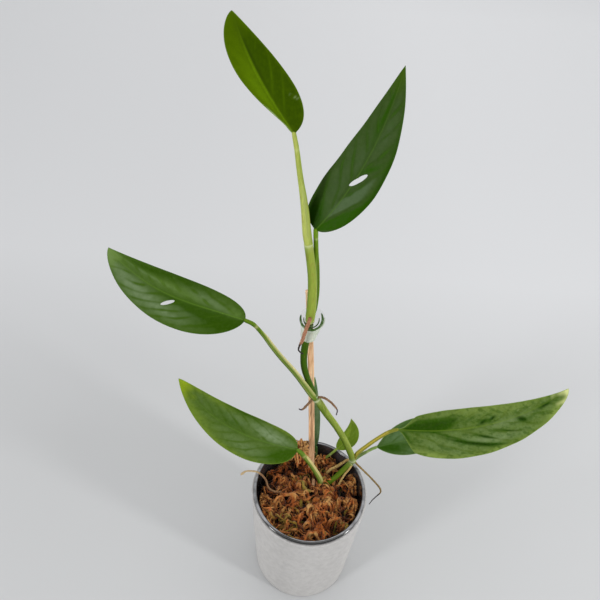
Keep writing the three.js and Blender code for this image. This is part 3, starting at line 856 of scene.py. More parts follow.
@dataclass
class MossBed:
    """The moss in the nursery pot: a matted plug, painted dark as the shade between the strands, and loose
    curly strands over it.
    """

    pot: NurseryPot
    edge_level: float = 98.0
    crown_level: float = 103.5
    bump: float = 1.6
    plug_drop: float = 5.0
    clump: float = 1.9
    skirt_level: float = 92.0
    wall_gap: float = 1.2
    rooted: float = 3.0
    finish: DriedMoss = DriedMoss()
    tufts: tuple[Tuft, ...] = (
        Tuft(-8, 32, 4.0, 30, 90, 0.72), Tuft(9.5, 31, 4.0, 12, 40, 0.74), Tuft(22, 33, 5.5, 11, 44, 0.66),
        Tuft(-24, 13, 5.0, 7, 44, 0.72), Tuft(34, -8, 6.5, 6, 54, 0.7), Tuft(7, -13, 6.5, 7, 60, 0.7),
        Tuft(-25, -20, 6.0, 5, 40, 0.5), Tuft(37, 10, 4.5, 10, 40, 0.66), Tuft(9, 2, 4.5, 6, 40, 0.5),
        Tuft(-36, -8, 4.0, 5, 30, 0.6),
    )
    dips: tuple[Spot, ...] = (
        Spot(26.8, 3.8, 9, 5), Spot(19.5, -27, 9, 5.5), Spot(34, -18, 7, 5), Spot(-38, 10, 8, 6),
        Spot(-12, 22, 7, 5), Spot(26, 29, 8, 6), Spot(-5, -8, 4, 4), Spot(-31, 26, 7, 7), Spot(38, 2, 7, 5),
        Spot(3.5, 13, 5, 5), Spot(-36, -10, -3.5, 13), Spot(-14, -36, -2, 9), Spot(30, -4, -2.5, 6),
        Spot(37, 14, -3, 6), Spot(41, -4, -3.5, 8), Spot(-41, 2, -3, 8), Spot(-36, -18, -2, 7),
    )
    # The first spot makes the moss paler in its middle; the second is painted shade, the shadow of the low
    # left leaf over the back left.
    tones: tuple[Spot, ...] = (Spot(5, -12, 0.14, 16), Spot(-26, 12, -0.22, 15))
    greens: tuple[Spot, ...] = (Spot(-20, -28, 0.5, 9), Spot(-4, 11, 0.5, 8))
    kinds: tuple[StrandKind, ...] = (
        StrandKind("moss_curls", 300, (8, 20), 3.4, (0.5, 6.0), Fibre(11, (0.9, 1.75), 5, 0.5)),
        StrandKind("moss_strands", 260, (8, 20), 2.8, (0.4, 5.0), Fibre(10, (0.45, 0.85), 5, 0.6)),
        StrandKind("moss_fibres", 320, (7, 18), 2.2, (0.2, 5.0), Fibre(9, (0.2, 0.38), 4, 0.8)),
    )
    tuft_fibre: Fibre = Fibre(9, (0.5, 1.3), 5, 0.65)

    def from_middle(self, x: Array, y: Array) -> Array:
        """Distance from the pot's axis, one at the pot's wall."""
        return np.hypot(x, y) / self.pot.inside(self.edge_level)

    def dome(self, x: Array, y: Array) -> Array:
        """The plain dome: level in its middle and falling to its edge."""
        fall = smooth(0.25, 1, self.from_middle(x, y))
        return self.crown_level + (self.edge_level - self.crown_level) * fall

    def level(self, x: Array, y: Array) -> Array:
        """The heaped top: a dome with two slow waves, as the CAD has it, with clumps, less the dips.

        Args:
            x, y: places on the moss.

        Returns:
            The heights there.
        """
        places = np.stack([x, y], -1)
        lumps = np.sin(0.33 * x + 1.1) * np.cos(0.29 * y - 0.4) + 0.7 * np.sin(0.21 * x - 0.37 * y + 2)
        heaped = self.dome(x, y) + self.bump * lumps * (1 - 0.7 * self.from_middle(x, y) ** 2)
        return heaped + self.clump * ripples(places, 11, 9) - Spot.total(self.dips, places)

    def high(self, places: Array) -> Array:
        """How far places stand over the plain dome, in mm."""
        return places[..., 2] - self.dome(places[..., 0], places[..., 1])

    def kept_in(self, x: Array, y: Array) -> tuple[Array, Array]:
        """Places drawn straight towards the pot's axis where they would pass its wall."""
        inward = np.minimum(1, (self.pot.inside(self.edge_level) - self.wall_gap) / np.hypot(x, y))
        return x * inward, y * inward

    def plug(self) -> Shape:
        """The matted body: rings up the pot's wall, then in over the heap, uneven on top.

        Returns:
            The closed body, with the values tone and green.
        """
        angle = full_turn(160)
        heights = np.linspace(self.pot.foot + self.pot.bottom + GAP, self.skirt_level, 30)
        outer = self.pot.inside(heights) - 2 * GAP
        outer[0] -= self.pot.cove
        wall = swept_round(np.stack([outer, heights], -1), angle)
        radii = outer[-1] * np.linspace(0.985, 0.01, 54)
        x, y = radii[:, None] * np.cos(angle), radii[:, None] * np.sin(angle)
        flat = np.stack([x, y], -1)
        matted = self.level(x, y) - self.plug_drop + 0.9 * ripples(flat, 5, 4) + 0.5 * ripples(flat, 2.2, 5)
        top = np.stack([x, y, np.maximum(matted, self.skirt_level - 4)], -1)
        rings = np.concatenate([wall, top])
        # the plug's low tone is painted shade: it shows only in the gaps between the strands
        tone = np.clip(0.06 + 0.06 * ripples(rings, 4, 6), 0, 1)
        return closed_tube(rings, {"tone": tone, "green": np.zeros_like(tone)})

    def lying(self, random: Draws, kind: StrandKind) -> Array:
        """Middle lines of strands that lie over the heap and dive into it at both ends.

        Each heading turns evenly along the strand and each line is the running sum of its headings.

        Args:
            random: the draws.
            kind: how many strands, and how they run.

        Returns:
            Positions with the axes strand, ring and xyz.
        """
        count = kind.count
        reach = self.pot.inside(self.edge_level) - self.wall_gap
        radius, angle = reach * np.sqrt(random.uniform(0, 1, count)), random.uniform(0, 2 * math.pi, count)
        share = np.linspace(-0.5, 0.5, kind.fibre.rings)
        step = (random.uniform(*kind.length, count) / (kind.fibre.rings - 1))[:, None]
        turn = random.normal(0, kind.curl, count)[:, None] * share
        turn = turn + random.normal(0, kind.curl, count)[:, None] * share**2 * 2
        heading = random.uniform(0, 2 * math.pi, count)[:, None] + turn
        x = np.cumsum(np.cos(heading), 1) * step
        y = np.cumsum(np.sin(heading), 1) * step
        x += (radius * np.cos(angle) - x.mean(1))[:, None]
        y += (radius * np.sin(angle) - y.mean(1))[:, None]
        x, y = self.kept_in(x, y)
        hump = random.uniform(*kind.rise, count)[:, None] * (1 - 4 * share**2)
        hump = hump - 2.2 * (2 * np.abs(share)) ** 3
        wriggle = random.uniform(0, 0.8, count)[:, None]
        wriggle = wriggle * np.sin(9 * share + random.uniform(0, 6, count)[:, None])
        return np.stack([x, y, self.level(x, y) + hump + wriggle], -1)

    def standing(self, random: Draws, tuft: Tuft) -> Array:
        """Middle lines of a tuft's strands: they rise from the moss, lean outward and hook over at the top.

        Args:
            random: the draws.
            tuft: where it stands and how high.

        Returns:
            Positions with the axes strand, ring and xyz.
        """
        count = tuft.strands
        turn = random.uniform(0, 2 * math.pi, count)
        away = tuft.spread * np.sqrt(random.uniform(0, 1, count))
        share = np.linspace(0, 1, self.tuft_fibre.rings)
        height = tuft.height * random.uniform(0.45, 1, count) * (1 - 0.45 * (away / tuft.spread) ** 2)
        lean = random.uniform(0.1, 0.6, count)[:, None] * height[:, None] * share**2
        curl = random.normal(0, 1.6, count)[:, None] * share
        x = tuft.x + (away * np.cos(turn))[:, None] + lean * np.cos(turn[:, None] + curl)
        y = tuft.y + (away * np.sin(turn))[:, None] + lean * np.sin(turn[:, None] + curl)
        hook = np.sin(np.minimum(share * 1.25, 1.12) * math.pi / 2 * random.uniform(1, 1.35, count)[:, None])
        x, y = self.kept_in(x, y)
        rise = (height[:, None] + self.rooted) * hook - self.rooted
        return np.stack([x, y, self.level(x, y) + rise], -1)

    @staticmethod
    def strands(random: Draws, lines: Array, fibre: Fibre, tone: Array, green: Array) -> Shape:
        """Thin closed tubes along many lines at once, knotty, flattened and tapered to both ends.

        Args:
            random: the draws.
            lines: middle lines, with the axes strand, ring and xyz.
            fibre: how each is made.
            tone: how pale each strand is, ring by ring.
            green: how green each strand is.

        Returns:
            One shape of all the tubes, with the values tone and green.
        """
        count, rings, sides = len(lines), fibre.rings, fibre.sides
        tangent = unit(np.gradient(lines, axis=1))
        up = unit(np.array([0, 0, 1.0]) + random.normal(0, 0.5, (count, 1, 3)))
        up = unit(up - (up * tangent).sum(-1, keepdims=True) * tangent)
        across = np.cross(tangent, up)
        share = np.linspace(-1, 1, rings)
        radius = random.uniform(*fibre.thick, count)[:, None] * (1 - 0.75 * share**4)
        radius = radius * random.uniform(0.7, 1.25, (count, rings))
        angle = full_turn(sides)
        knots = random.uniform(0.75, 1.2, (count, rings, sides))
        section = across[:, :, None] * np.sin(angle)[:, None]
        section = section + fibre.flat * up[:, :, None] * np.cos(angle)[:, None]
        points = lines[:, :, None] + (radius[..., None] * knots)[..., None] * section
        shade = np.clip(tone[:, :, None] + random.normal(0, 0.06, (count, rings, 1)) + 0 * knots, 0, 1)
        tint = green[:, None, None] + 0 * knots
        parts = zip(points, shade, tint)
        return Shape.joined([closed_tube(place, {"tone": t, "green": g}) for place, t, g in parts])

    def build(self) -> None:
        """Makes the plug, the strands lying on it, the finer fibres and the tufts."""
        random = np.random.default_rng(11)
        material = self.finish.material()
        dress(self.plug().piece("moss_plug"), material, Slot.MOSS, "moss_bed")
        for kind in self.kinds:
            lines = self.lying(random, kind)
            middle = lines.mean(1)
            tone = 0.3 + 0.15 * ripples(middle[:, :2], 18, 8) + random.normal(0, 0.13, kind.count)
            # painted light and shade: a strand is paler the higher it stands over the dome, and darker down
            # in its dips
            tone = (tone + Spot.total(self.tones, middle))[:, None] + 0.055 * self.high(lines)
            likely = 0.04 + Spot.total(self.greens, middle)
            green = (random.uniform(0, 1, kind.count) < likely) * random.uniform(0.3, 0.8, kind.count)
            shape = self.strands(random, lines, kind.fibre, np.clip(tone, 0, 1), green)
            dress(shape.piece(kind.name), material, Slot.MOSS, "moss_bed")
        shapes = []
        for tuft in self.tufts:
            lines = self.standing(random, tuft)
            # painted light: a tuft's strands are paler the higher they stand
            tone = tuft.tone - 0.3 + random.normal(0, 0.12, tuft.strands)[:, None] + 0.04 * self.high(lines)
            tone, green = np.clip(tone, 0, 1), np.zeros(tuft.strands)
            shapes.append(self.strands(random, lines, self.tuft_fibre, tone, green))
        dress(Shape.joined(shapes).piece("moss_tufts"), material, Slot.MOSS, "moss_bed")


# Limbs


@dataclass(frozen=True)
class Places:
    """Places on a limb's skin, one row a ring.

    Attributes:
        angle: counted from the limb's upper side, from minus to plus half a turn.
        along: the share of the route.
        run: the distance from the foot.
        left: the distance to the head.
    """

    angle: Array
    along: Array
    run: Array
    left: Array


@dataclass(frozen=True)
class Limb:
    """A round limb along a curve.

    Attributes:
        route: x, y, z and radius at its control points.
        upper: the side that the section's angle is counted from.
        sides: corners of a section.
        step: distance between rings.
        sunk: how far its foot and its head reach on, into what they grow from or carry.
    """

    route: tuple[Row, ...]
    upper: Row = (0.0, -0.7, 0.7)
    sides: int = 28
    step: float = 0.7
    sunk: Row = (0.0, 0.0)

    def read(self, along: Array) -> tuple[Array, Array, Array]:
        """The route at shares of its control points.

        Args:
            along: the shares.

        Returns:
            Positions, tangents and radii.
        """
        rows = np.array(self.route)
        centre, tangent = centripetal(rows[:, :3], along)
        return centre, tangent, np.interp(along * (len(rows) - 1), np.arange(len(rows)), rows[:, 3])

    def end(self) -> tuple[Array, Array]:
        """Where the limb ends and which way it points there."""
        centre, tangent, _ = self.read(np.array([1.0]))
        return centre[0], tangent[0]

    def shape(self, section: Callable[[Places], Section]) -> Shape:
        """Rings of the section along the curve, spaced evenly by length, with rounded ends.

        Args:
            section: gives the radius's factor and the values at places on the limb.

        Returns:
            The closed limb.
        """
        fine = np.linspace(0, 1, 900)
        run = running_length(self.read(fine)[0])
        length = run[-1]
        cap = [min(0.8 * row[3], 0.2 * length) for row in (self.route[0], self.route[-1])]
        bend = 1 - np.cos(np.linspace(0.2, 1, 5) * math.pi / 2)
        middle = np.linspace(cap[0], length - cap[1], max(4, round(length / self.step)))
        spot = np.concatenate([bend[:-1] * cap[0], middle, length - (bend[:-1] * cap[1])[::-1]])
        along = np.interp(spot, run, fine)
        centre, tangent, radius = self.read(along)
        push = self.sunk[1] * smooth(length - 4, length, spot) - self.sunk[0] * smooth(4, 0, spot)
        centre = centre + tangent * push[:, None]
        for distance, size in ((spot, cap[0]), (length - spot, cap[1])):
            radius = radius * np.sqrt(1 - (1 - np.minimum(distance / size, 1)) ** 2)
        front = unit(np.array(self.upper) - (tangent @ np.array(self.upper))[:, None] * tangent)
        across = np.cross(tangent, front)
        angle = full_turn(self.sides)
        signed = np.where(angle > math.pi, angle - 2 * math.pi, angle) + np.zeros((len(spot), 1))
        run = spot[:, None] + 0 * signed
        factor, values = section(Places(signed, along[:, None] + 0 * signed, run, length - run))
        spoke = front[:, None] * np.cos(signed)[..., None] + across[:, None] * np.sin(signed)[..., None]
        rings = centre[:, None] + (radius[:, None] * factor)[..., None] * spoke
        return closed_tube(rings, values)


# Stake and tie


@dataclass(frozen=True)
class SplitWood:
    """Pale split wood: long pinkish tan fibres with darker grooves and a few grey ones."""

    pale: str = "#ffdaae"
    tan: str = "#f0bb8c"
    groove: str = "#8a6445"
    lower_tone: str = "#a97c58"
    darkest_below: float = 100.0
    untinted_above: float = 190.0

    def material(self) -> Material:
        """Fibres from noise drawn out along Z, darker where the mesh says it is grooved.

        Returns:
            The material.
        """
        s = Shader("split_wood", Specular_IOR_Level=0.25)
        fibres = s.noise(0.55, 4, s.stretched(1, 1, 0.035))
        broad = s.noise(2.6, 2, s.stretched(1, 1, 0.05))
        colour = s.ramp(s.plus(s.times(fibres, 0.6), s.times(broad, 0.45)),
                        (0.36, self.groove), (0.48, self.tan), (0.62, self.pale))
        colour = s.blend(s.value("groove"), colour, self.groove)
        height = s.axes()[2]
        # darker towards the bottom of the stake
        colour = s.blend(s.span(height, self.untinted_above * MM, self.darkest_below * MM, 0, 0.6), colour, self.lower_tone)
        return s.finish(colour, s.span(fibres, 0.3, 0.7, 0.65, 0.85), fibres, 0.18, 0.8)


@dataclass
class Stake:
    """A flat split of wood, leaning a little, with a slanting top."""

    foot: Row = (4.4, 21.2, 45)
    head: Row = (-14.6, 26, 301)
    bow: float = 1.5
    foot_width: float = 5.4
    head_width: float = 4.0
    thickness: float = 2.6
    slant: float = 1.6
    blunt: float = 0.32
    rows: int = 260
    sides: int = 72
    finish: SplitWood = SplitWood()
    flake: Limb = Limb(((3.4, 18, 97, 0.9), (3.3, 14, 102.5, 1.5), (3.2, 9.5, 105, 1.6),
                        (3.1, 5.5, 104, 1.3), (3.2, 3, 100, 0.8)), (0, -0.7, 0.7), 16, 0.5)

    def shape(self) -> Shape:
        """A rounded bar whose section shrinks upward; grooves run along it and wander slowly.

        The section is a superellipse: cosine and sine raised to a small power, their signs kept.

        Returns:
            The closed bar, with the value groove.
        """
        share = np.linspace(0, 1, self.rows)[:, None]
        angle = full_turn(self.sides)
        half = (self.foot_width + (self.head_width - self.foot_width) * share) / 2
        x = half * np.sign(np.cos(angle)) * np.abs(np.cos(angle)) ** self.blunt
        y = self.thickness / 2 * np.sign(np.sin(angle)) * np.abs(np.sin(angle)) ** self.blunt
        y = np.broadcast_to(y, x.shape)
        relief = ripples(np.stack([x, y, np.broadcast_to(share * 9.0, x.shape)], -1), 1.5, 21, 26)
        deep = np.clip(-relief - 0.35, 0, 1.2)
        inset = 1 - (0.05 + 0.11 * deep)
        centre = between(self.foot, self.head, share) + np.array([self.bow, 0, 0]) * 4 * share * (1 - share)
        lift = self.slant * x / (2 * half) * smooth(0.985, 1, share) + 0.5 * relief * smooth(0.992, 1, share)
        rings = centre[:, None] + np.stack([x * inset, y * inset, lift - 0.5 * smooth(0.99, 1, share)], -1)
        split = 0.8 * peak(np.sin(angle) + 1, 0.6) * peak(x - 0.12 * half - 0.25 * np.sin(9 * share), 0.28)
        return closed_tube(rings, {"groove": np.clip(deep * 0.5 + split, 0, 0.85)})

    def build(self) -> None:
        """Dresses the stake, and a flake of its wood that lies in the moss before its foot."""
        material = self.finish.material()
        dress(self.shape().piece("split_stake"), material, Slot.WOOD, "wooden_stake")
        dress(self.flake.shape(self.flake_section).piece("stake_flake"), material, Slot.WOOD)

    @staticmethod
    def flake_section(at: Places) -> Section:
        """Flat in front, with grooves along it."""
        grooves = np.clip(np.cos(5 * at.angle + 0.3 * np.sin(at.run)), 0, 1)
        return 1 - 0.35 * np.abs(np.cos(at.angle)) - 0.06 * grooves, {"groove": 0.5 * grooves}


@dataclass(frozen=True)
class MilkyBand:
    """Soft milky plastic, partly see-through, and its cut edge, painted dark green as the refraction of the
    stem behind it.
    """

    milky: str = "#e3eadb"
    cloudy: str = "#d3ddc6"
    # painted refraction: the dark green that the stem behind shows through the band's cut edge
    cut: str = "#43632a"

    def body(self, name: str, cover: float) -> Material:
        """Two milky tones from noise.

        Args:
            name: the material's name.
            cover: how much it hides of what is behind it.

        Returns:
            The material.
        """
        s = Shader(name, Specular_IOR_Level=0.3, Alpha=cover)
        colour = s.blend(s.span(s.noise(5, 3), 0.35, 0.65), self.milky, self.cloudy)
        return s.finish(colour, s.span(s.noise(3, 2), 0.3, 0.7, 0.25, 0.4), s.noise(4, 2), 0.1, 0.3)

    def edge(self) -> Material:
        """Dark green, the painted refraction of the stem, a little paler where noise says so.

        Returns:
            The material.
        """
        s = Shader("band_edge_painted_refraction", Specular_IOR_Level=0.15)
        colour = s.blend(s.span(s.noise(2, 2), 0.5, 0.75, 0, 0.3), self.cut, self.cloudy)
        return s.finish(colour, s.span(s.noise(2, 1), 0.3, 0.7, 0.25, 0.4))


@dataclass
class Tie:
    """A short band round the stem and the stake, snug below and flared above."""

    foot_centre: Row = (-12, 22.2, 266)
    foot_half: Row = (5.3, 7.2)
    rim_centre: Row = (-11.2, 22.6, 280.3)
    rim_half: Row = (7.3, 9.4)
    wall: float = 0.8
    flare: float = 1.4
    droop: float = 1.2
    front_cover: float = 0.72
    back_cover: float = 0.06
    spread: float = 1.3
    beads: tuple[Row, ...] = ((1.0, 0.75, 165.0, 392.0), (0.7, 0.4, 172.0, 372.0))
    finish: MilkyBand = MilkyBand()

    def shape(self, start: float, stop: float, around: int) -> Shape:
        """A closed wall swept round: up its outside, over its edge, down its inside.

        Args:
            start, stop: the angles it is swept between, in degrees.
            around: how many sections it has.

        Returns:
            The wall.
        """
        angle = np.radians(np.linspace(start, stop, around))[:, None]
        steps = 22
        up = np.concatenate([np.linspace(0, 1, steps), np.linspace(1, 0, steps)])
        inset = np.concatenate([np.zeros(steps), np.full(steps, self.wall * 0.8)]) + 0.05
        flare = up**self.flare
        half = between(self.foot_half, self.rim_half, flare[:, None]) - inset[:, None]
        squareness = 1 + 0.045 * np.sin(2 * angle) ** 2 * up
        x = half[:, 0] * np.cos(angle) * squareness + self.spread * flare * np.maximum(np.cos(angle), 0)
        y = half[:, 1] * np.sin(angle) * squareness
        z = up * self.droop * np.sin(angle) + 0.12 * np.sin(3 * angle + 5 * up) * up
        loops = between(self.foot_centre, self.rim_centre, up[:, None]) + np.stack([x, y, z], -1)
        return closed_tube(loops[::-1], {})

    def bead(self, share: float, thick: float, start: float, stop: float) -> Shape:
        """A thin closed tube along part of the rim's oval.

        Args:
            share: the oval's size; the smaller it is drawn, the lower it lies.
            thick: the tube's radius in mm.
            start, stop: the angles it runs between, in degrees.

        Returns:
            The tube.
        """
        steps = 90
        angle = np.radians(np.linspace(start, stop, steps))
        half = (np.array(self.rim_half) - self.wall / 2) * share
        height = self.droop * np.sin(angle) - 1.5 * (1 - share)
        oval = np.stack([half[0] * np.cos(angle), half[1] * np.sin(angle), height], -1)
        centre = np.array(self.rim_centre) + oval
        tangent = unit(np.gradient(centre, axis=0))
        outward = unit(np.stack([np.cos(angle), np.sin(angle), 0 * angle], -1))
        up = np.cross(tangent, outward)
        turn = full_turn(10)[:, None]
        radius = thick * np.sqrt(np.clip(1 - np.linspace(-1, 1, steps) ** 8, 0.02, 1))[:, None, None]
        ring = outward[:, None] * np.cos(turn) - up[:, None] * np.sin(turn)
        return closed_tube(centre[:, None] - radius * ring, {})

    def build(self) -> None:
        """Dresses the milky front, the nearly clear back and the two cut edges, painted dark green as
        refraction.
        """
        front = self.finish.body("milky_front", self.front_cover)
        back = self.finish.body("clear_back", self.back_cover)
        dress(self.shape(170, 370, 96).piece("tie_front"), front, Slot.BAND, "tie_band")
        dress(self.shape(12, 168, 72).piece("tie_back"), back, Slot.BAND, "tie_band")
        edges = Shape.joined([self.bead(*bead) for bead in self.beads])
        dress(edges.piece("tie_cut_edges"), self.finish.edge(), Slot.BAND, "tie_band")


# Stem and stalks


@dataclass(frozen=True)
class LivingStem:
    """Satin living tissue: green with a paler, yellower side that is painted light, faint streaks, pale nodes
    and dry flecks.
    """

    name: str
    green: str
    lit: str
    node: str = "#c9cf9a"
    fleck: str = "#8c6b3a"
    roughness: float = 0.38

    def material(self) -> Material:
        """Mixes by the mesh's values `lit`, `pale` and `dry`, with streaks from long noise.

        Returns:
            The material.
        """
        s = Shader(self.name, Specular_IOR_Level=0.06)
        streaks = s.noise(0.8, 3, s.stretched(1, 1, 0.12))
        # painted light: the side that faces the lamps is paler and yellower
        lit = s.times(s.value("lit"), s.span(streaks, 0.25, 0.75, 0.75, 1.15))
        colour = s.blend(lit, self.green, self.lit)
        colour = s.blend(s.span(streaks, 0.6, 0.8, 0, 0.35), colour, self.lit)
        colour = s.blend(s.value("pale"), colour, self.node)
        flecks = s.span(s.noise(1.1, 2, s.stretched(1, 1, 0.3)), 0.62, 0.72, 0, 0.45)
        colour = s.blend(s.math("MAXIMUM", s.value("dry"), s.times(flecks, 0.7)), colour, self.fleck)
        rough = s.span(s.noise(2, 2), 0.3, 0.7, self.roughness - 0.06, self.roughness + 0.1)
        return s.finish(colour, rough, streaks, 0.08, 0.5)


# A stem's scars: widths and distances in mm along it, heights and depths as shares of its radius.
SCAR_WIDTH, SCAR_HEIGHT = 0.45, 0.075
SCAR_GROOVE_OFF, SCAR_GROOVE_DEPTH = 1.1, 0.05
STEM_RIBS = 16


@dataclass(frozen=True)
class Internode:
    """One length of the stem between two nodes.

    Attributes:
        ring, foot_ring: how far from its head and from its foot a leaf scar lies.
        lit_towards, lit: the angle of its paler side, which is painted light, and how strong that painted
            light is.
        dry: how brown its flecks are.
    """

    limb: Limb
    finish: LivingStem
    ring: float
    foot_ring: float
    lit_towards: float = 0.0
    lit: float = 0.6
    dry: float = 0.0

    def section(self, at: Places) -> Section:
        """Faint ribs, a raised scar near each end with a groove behind it, and the colours' values.

        Args:
            at: the places.

        Returns:
            The radius's factor, and the values lit, pale and dry.
        """
        angle, run = at.angle, at.run
        from_foot, from_head = run - self.foot_ring, at.left - self.ring
        scars = peak(from_foot, SCAR_WIDTH) + peak(from_head, SCAR_WIDTH)
        grooves = peak(from_foot + SCAR_GROOVE_OFF, 0.5) + peak(from_head + SCAR_GROOVE_OFF, 0.5)
        spot = np.stack([np.cos(angle) * 2.5, np.sin(angle) * 2.5, run * 0.08], -1)
        ribs = 0.008 * np.cos(STEM_RIBS * angle + 0.02 * run) + 0.012 * ripples(spot, 3, 31)
        factor = 1 + ribs + SCAR_HEIGHT * scars - SCAR_GROOVE_DEPTH * grooves
        # painted light: paler towards lit_towards
        towards = 0.5 + 0.5 * np.cos(angle - self.lit_towards)
        lit = np.clip(self.lit * (1.5 * towards - 0.3) + 0.1 * ripples(spot, 2, 32), 0, 1)
        round_scars = 0.25 * peak(from_foot, 3) + 0.2 * peak(from_head, 3)
        pale = np.clip(0.75 * scars + round_scars, 0, 0.9)
        dry = self.dry * np.clip(ripples(spot * [1, 1, 2.5], 1.4, 33) - 0.5, 0, 1)
        return factor, {"lit": lit, "pale": pale, "dry": dry}


@dataclass
class Stem:
    """The climbing stem, foot to top: four internodes, each swelling into the next at a node."""

    internodes: tuple[Internode, ...] = (
        Internode(
            Limb(((7.5, 7, 84, 2.1), (9, 8, 99, 2.2), (12, 9.6, 103.3, 2.1), (16.9, 11.6, 106, 2.1),
                  (22.4, 14.6, 111.2, 2.1), (28.5, 18.8, 117, 2.2), (33.2, 22.4, 119.8, 2.8))),
            LivingStem("stem_near_moss", "#3f5c0e", "#6a8420", "#a9b274"), 1.6, 4.0, lit=0.4, dry=0.3),
        Internode(
            Limb(((33.8, 22.8, 119.5, 3.1), (32.5, 22.6, 126, 2.6), (24.7, 21, 149.5, 2.5),
                  (15.3, 19, 172, 2.5), (6.5, 16.9, 190, 2.6), (-0.3, 15.2, 205, 2.8),
                  (-3.4, 14.8, 211, 2.7))),
            LivingStem("stem_lower", "#456312", "#9cac4a", "#cfd8b0"), 1.8, 4.2, lit_towards=1.2, lit=0.72,
            dry=0.15),
        Internode(
            Limb(((-3, 14.8, 209.8, 2.7), (-6.9, 14.5, 222, 2), (-10.4, 14.5, 232.3, 2.05),
                  (-13.1, 15.1, 242.3, 2.2), (-14, 17, 251.5, 2.3), (-13.6, 18.9, 261, 2.35),
                  (-12.2, 20.7, 279, 2.7))),
            LivingStem("stem_middle", "#335208", "#40620c", "#c4d0a4"), 2.0, 3.4, lit_towards=0.3, lit=0.6),
        Internode(
            Limb(((-12.2, 20.6, 277.5, 2.6), (-12.1, 20.9, 284.5, 3), (-12.2, 21, 301.6, 2.8),
                  (-13.5, 20.5, 317.6, 2.6), (-15.4, 20, 330.5, 2.5), (-16.8, 20, 338.5, 2.5),
                  (-17.2, 20, 341, 2.6)), sunk=(0, 1.2)),
            LivingStem("stem_upper", "#547614", "#97a842", "#cdd79a"), 1.6, 2.6, lit_towards=0.5, lit=0.9,
            dry=0.3),
    )

    def build(self) -> None:
        """Dresses the four internodes in the stem's place."""
        for number, part in enumerate(self.internodes, 1):
            piece = part.limb.shape(part.section).piece(f"internode_{number}")
            dress(piece, part.finish.material(), Slot.STEM, "main_stem")


# A stalk's sheath and joint: angles in radians, heights as shares of its radius, lengths in mm, and the
# share of the route over which the sheath fades.
WING_ANGLE, WING_WIDTH, WING_HEIGHT, GROOVE_WIDTH = 0.75, 0.4, 0.34, 0.42
STRIP_HEIGHT, SHEATH_FADE, SHEATH_RISE = 0.45, 0.14, 7.0
JOINT_LENGTH, JOINT_SWELL = 8.0, 0.05


@dataclass(frozen=True)
class Stalk:
    """A leaf stalk: a sheath with two wings along its lower part and a swollen joint under the blade.

    Attributes:
        strip: how pale the groove between the wings is.
        sheath_end: share of the route where the wings have ended.
        lit_towards, lit: the angle of its paler side, which is painted light, and how strong that painted
            light is.
        dry_foot: how brown its foot has dried.
        buried: how much of its foot is dark, below the pale groove.
        strip_at: how far the pale strip has turned from the groove.
    """

    limb: Limb
    finish: LivingStem
    strip: float = 0.6
    sheath_end: float = 0.85
    lit_towards: float = 0.0
    lit: float = 0.5
    dry_foot: float = 0.0
    buried: float = 0.0
    strip_at: float = 0.0

    def section(self, at: Places) -> Section:
        """Wings beside a groove, fading up the stalk, then a joint that swells and wrinkles.

        Args:
            at: the places.

        Returns:
            The radius's factor, and the values lit, pale and dry.
        """
        angle, run, left = at.angle, at.run, at.left
        fade = 1 - smooth(self.sheath_end - SHEATH_FADE, self.sheath_end, at.along)
        fade = fade * (0.3 + 0.7 * smooth(0, SHEATH_RISE, run))
        wings = WING_HEIGHT * peak(np.abs(angle) - WING_ANGLE, WING_WIDTH)
        wings = wings + STRIP_HEIGHT * self.strip_at * peak(angle - self.strip_at - 0.3, 0.5)
        groove = WING_HEIGHT * peak(angle, GROOVE_WIDTH)
        joint = smooth(JOINT_LENGTH, JOINT_LENGTH - 2, left) * smooth(0.2, 2, left)
        wrinkles = 0.012 * np.sin(run * 5.2) * joint
        spot = np.stack([np.cos(angle) * 2, np.sin(angle) * 2, run * 0.1], -1)
        factor = 1 + fade * (wings - groove) + JOINT_SWELL * joint + wrinkles
        factor = factor + 0.01 * ripples(spot, 2.5, 41)
        band = 1.1 * peak(angle - self.strip_at, GROOVE_WIDTH + 0.2 * self.strip_at)
        band = band + 0.3 * peak(np.abs(angle) - 0.85, 0.18)
        band = band * np.clip(0.85 + 0.5 * ripples(spot, 5, 44), 0.4, 1.1)
        pale = np.clip(self.strip * fade * band, 0, 0.95)
        pale = np.maximum(pale, 0.35 * peak(left - 7.5, 1.0))
        pale = pale * smooth(self.buried, self.buried + SHEATH_RISE, run)
        # painted light: paler towards lit_towards
        towards = 0.35 + 0.65 * np.cos(angle - self.lit_towards)
        lit = np.clip(self.lit * towards + 0.12 * ripples(spot, 3, 42), 0, 1)
        dry = np.clip(0.5 * fade * peak(np.abs(angle) - 0.95, 0.12) * (ripples(spot, 1.6, 43) > 0.3), 0, 1)
        dry = np.maximum(dry, self.dry_foot * peak(run, 5))
        return factor, {"lit": lit, "pale": pale, "dry": dry}


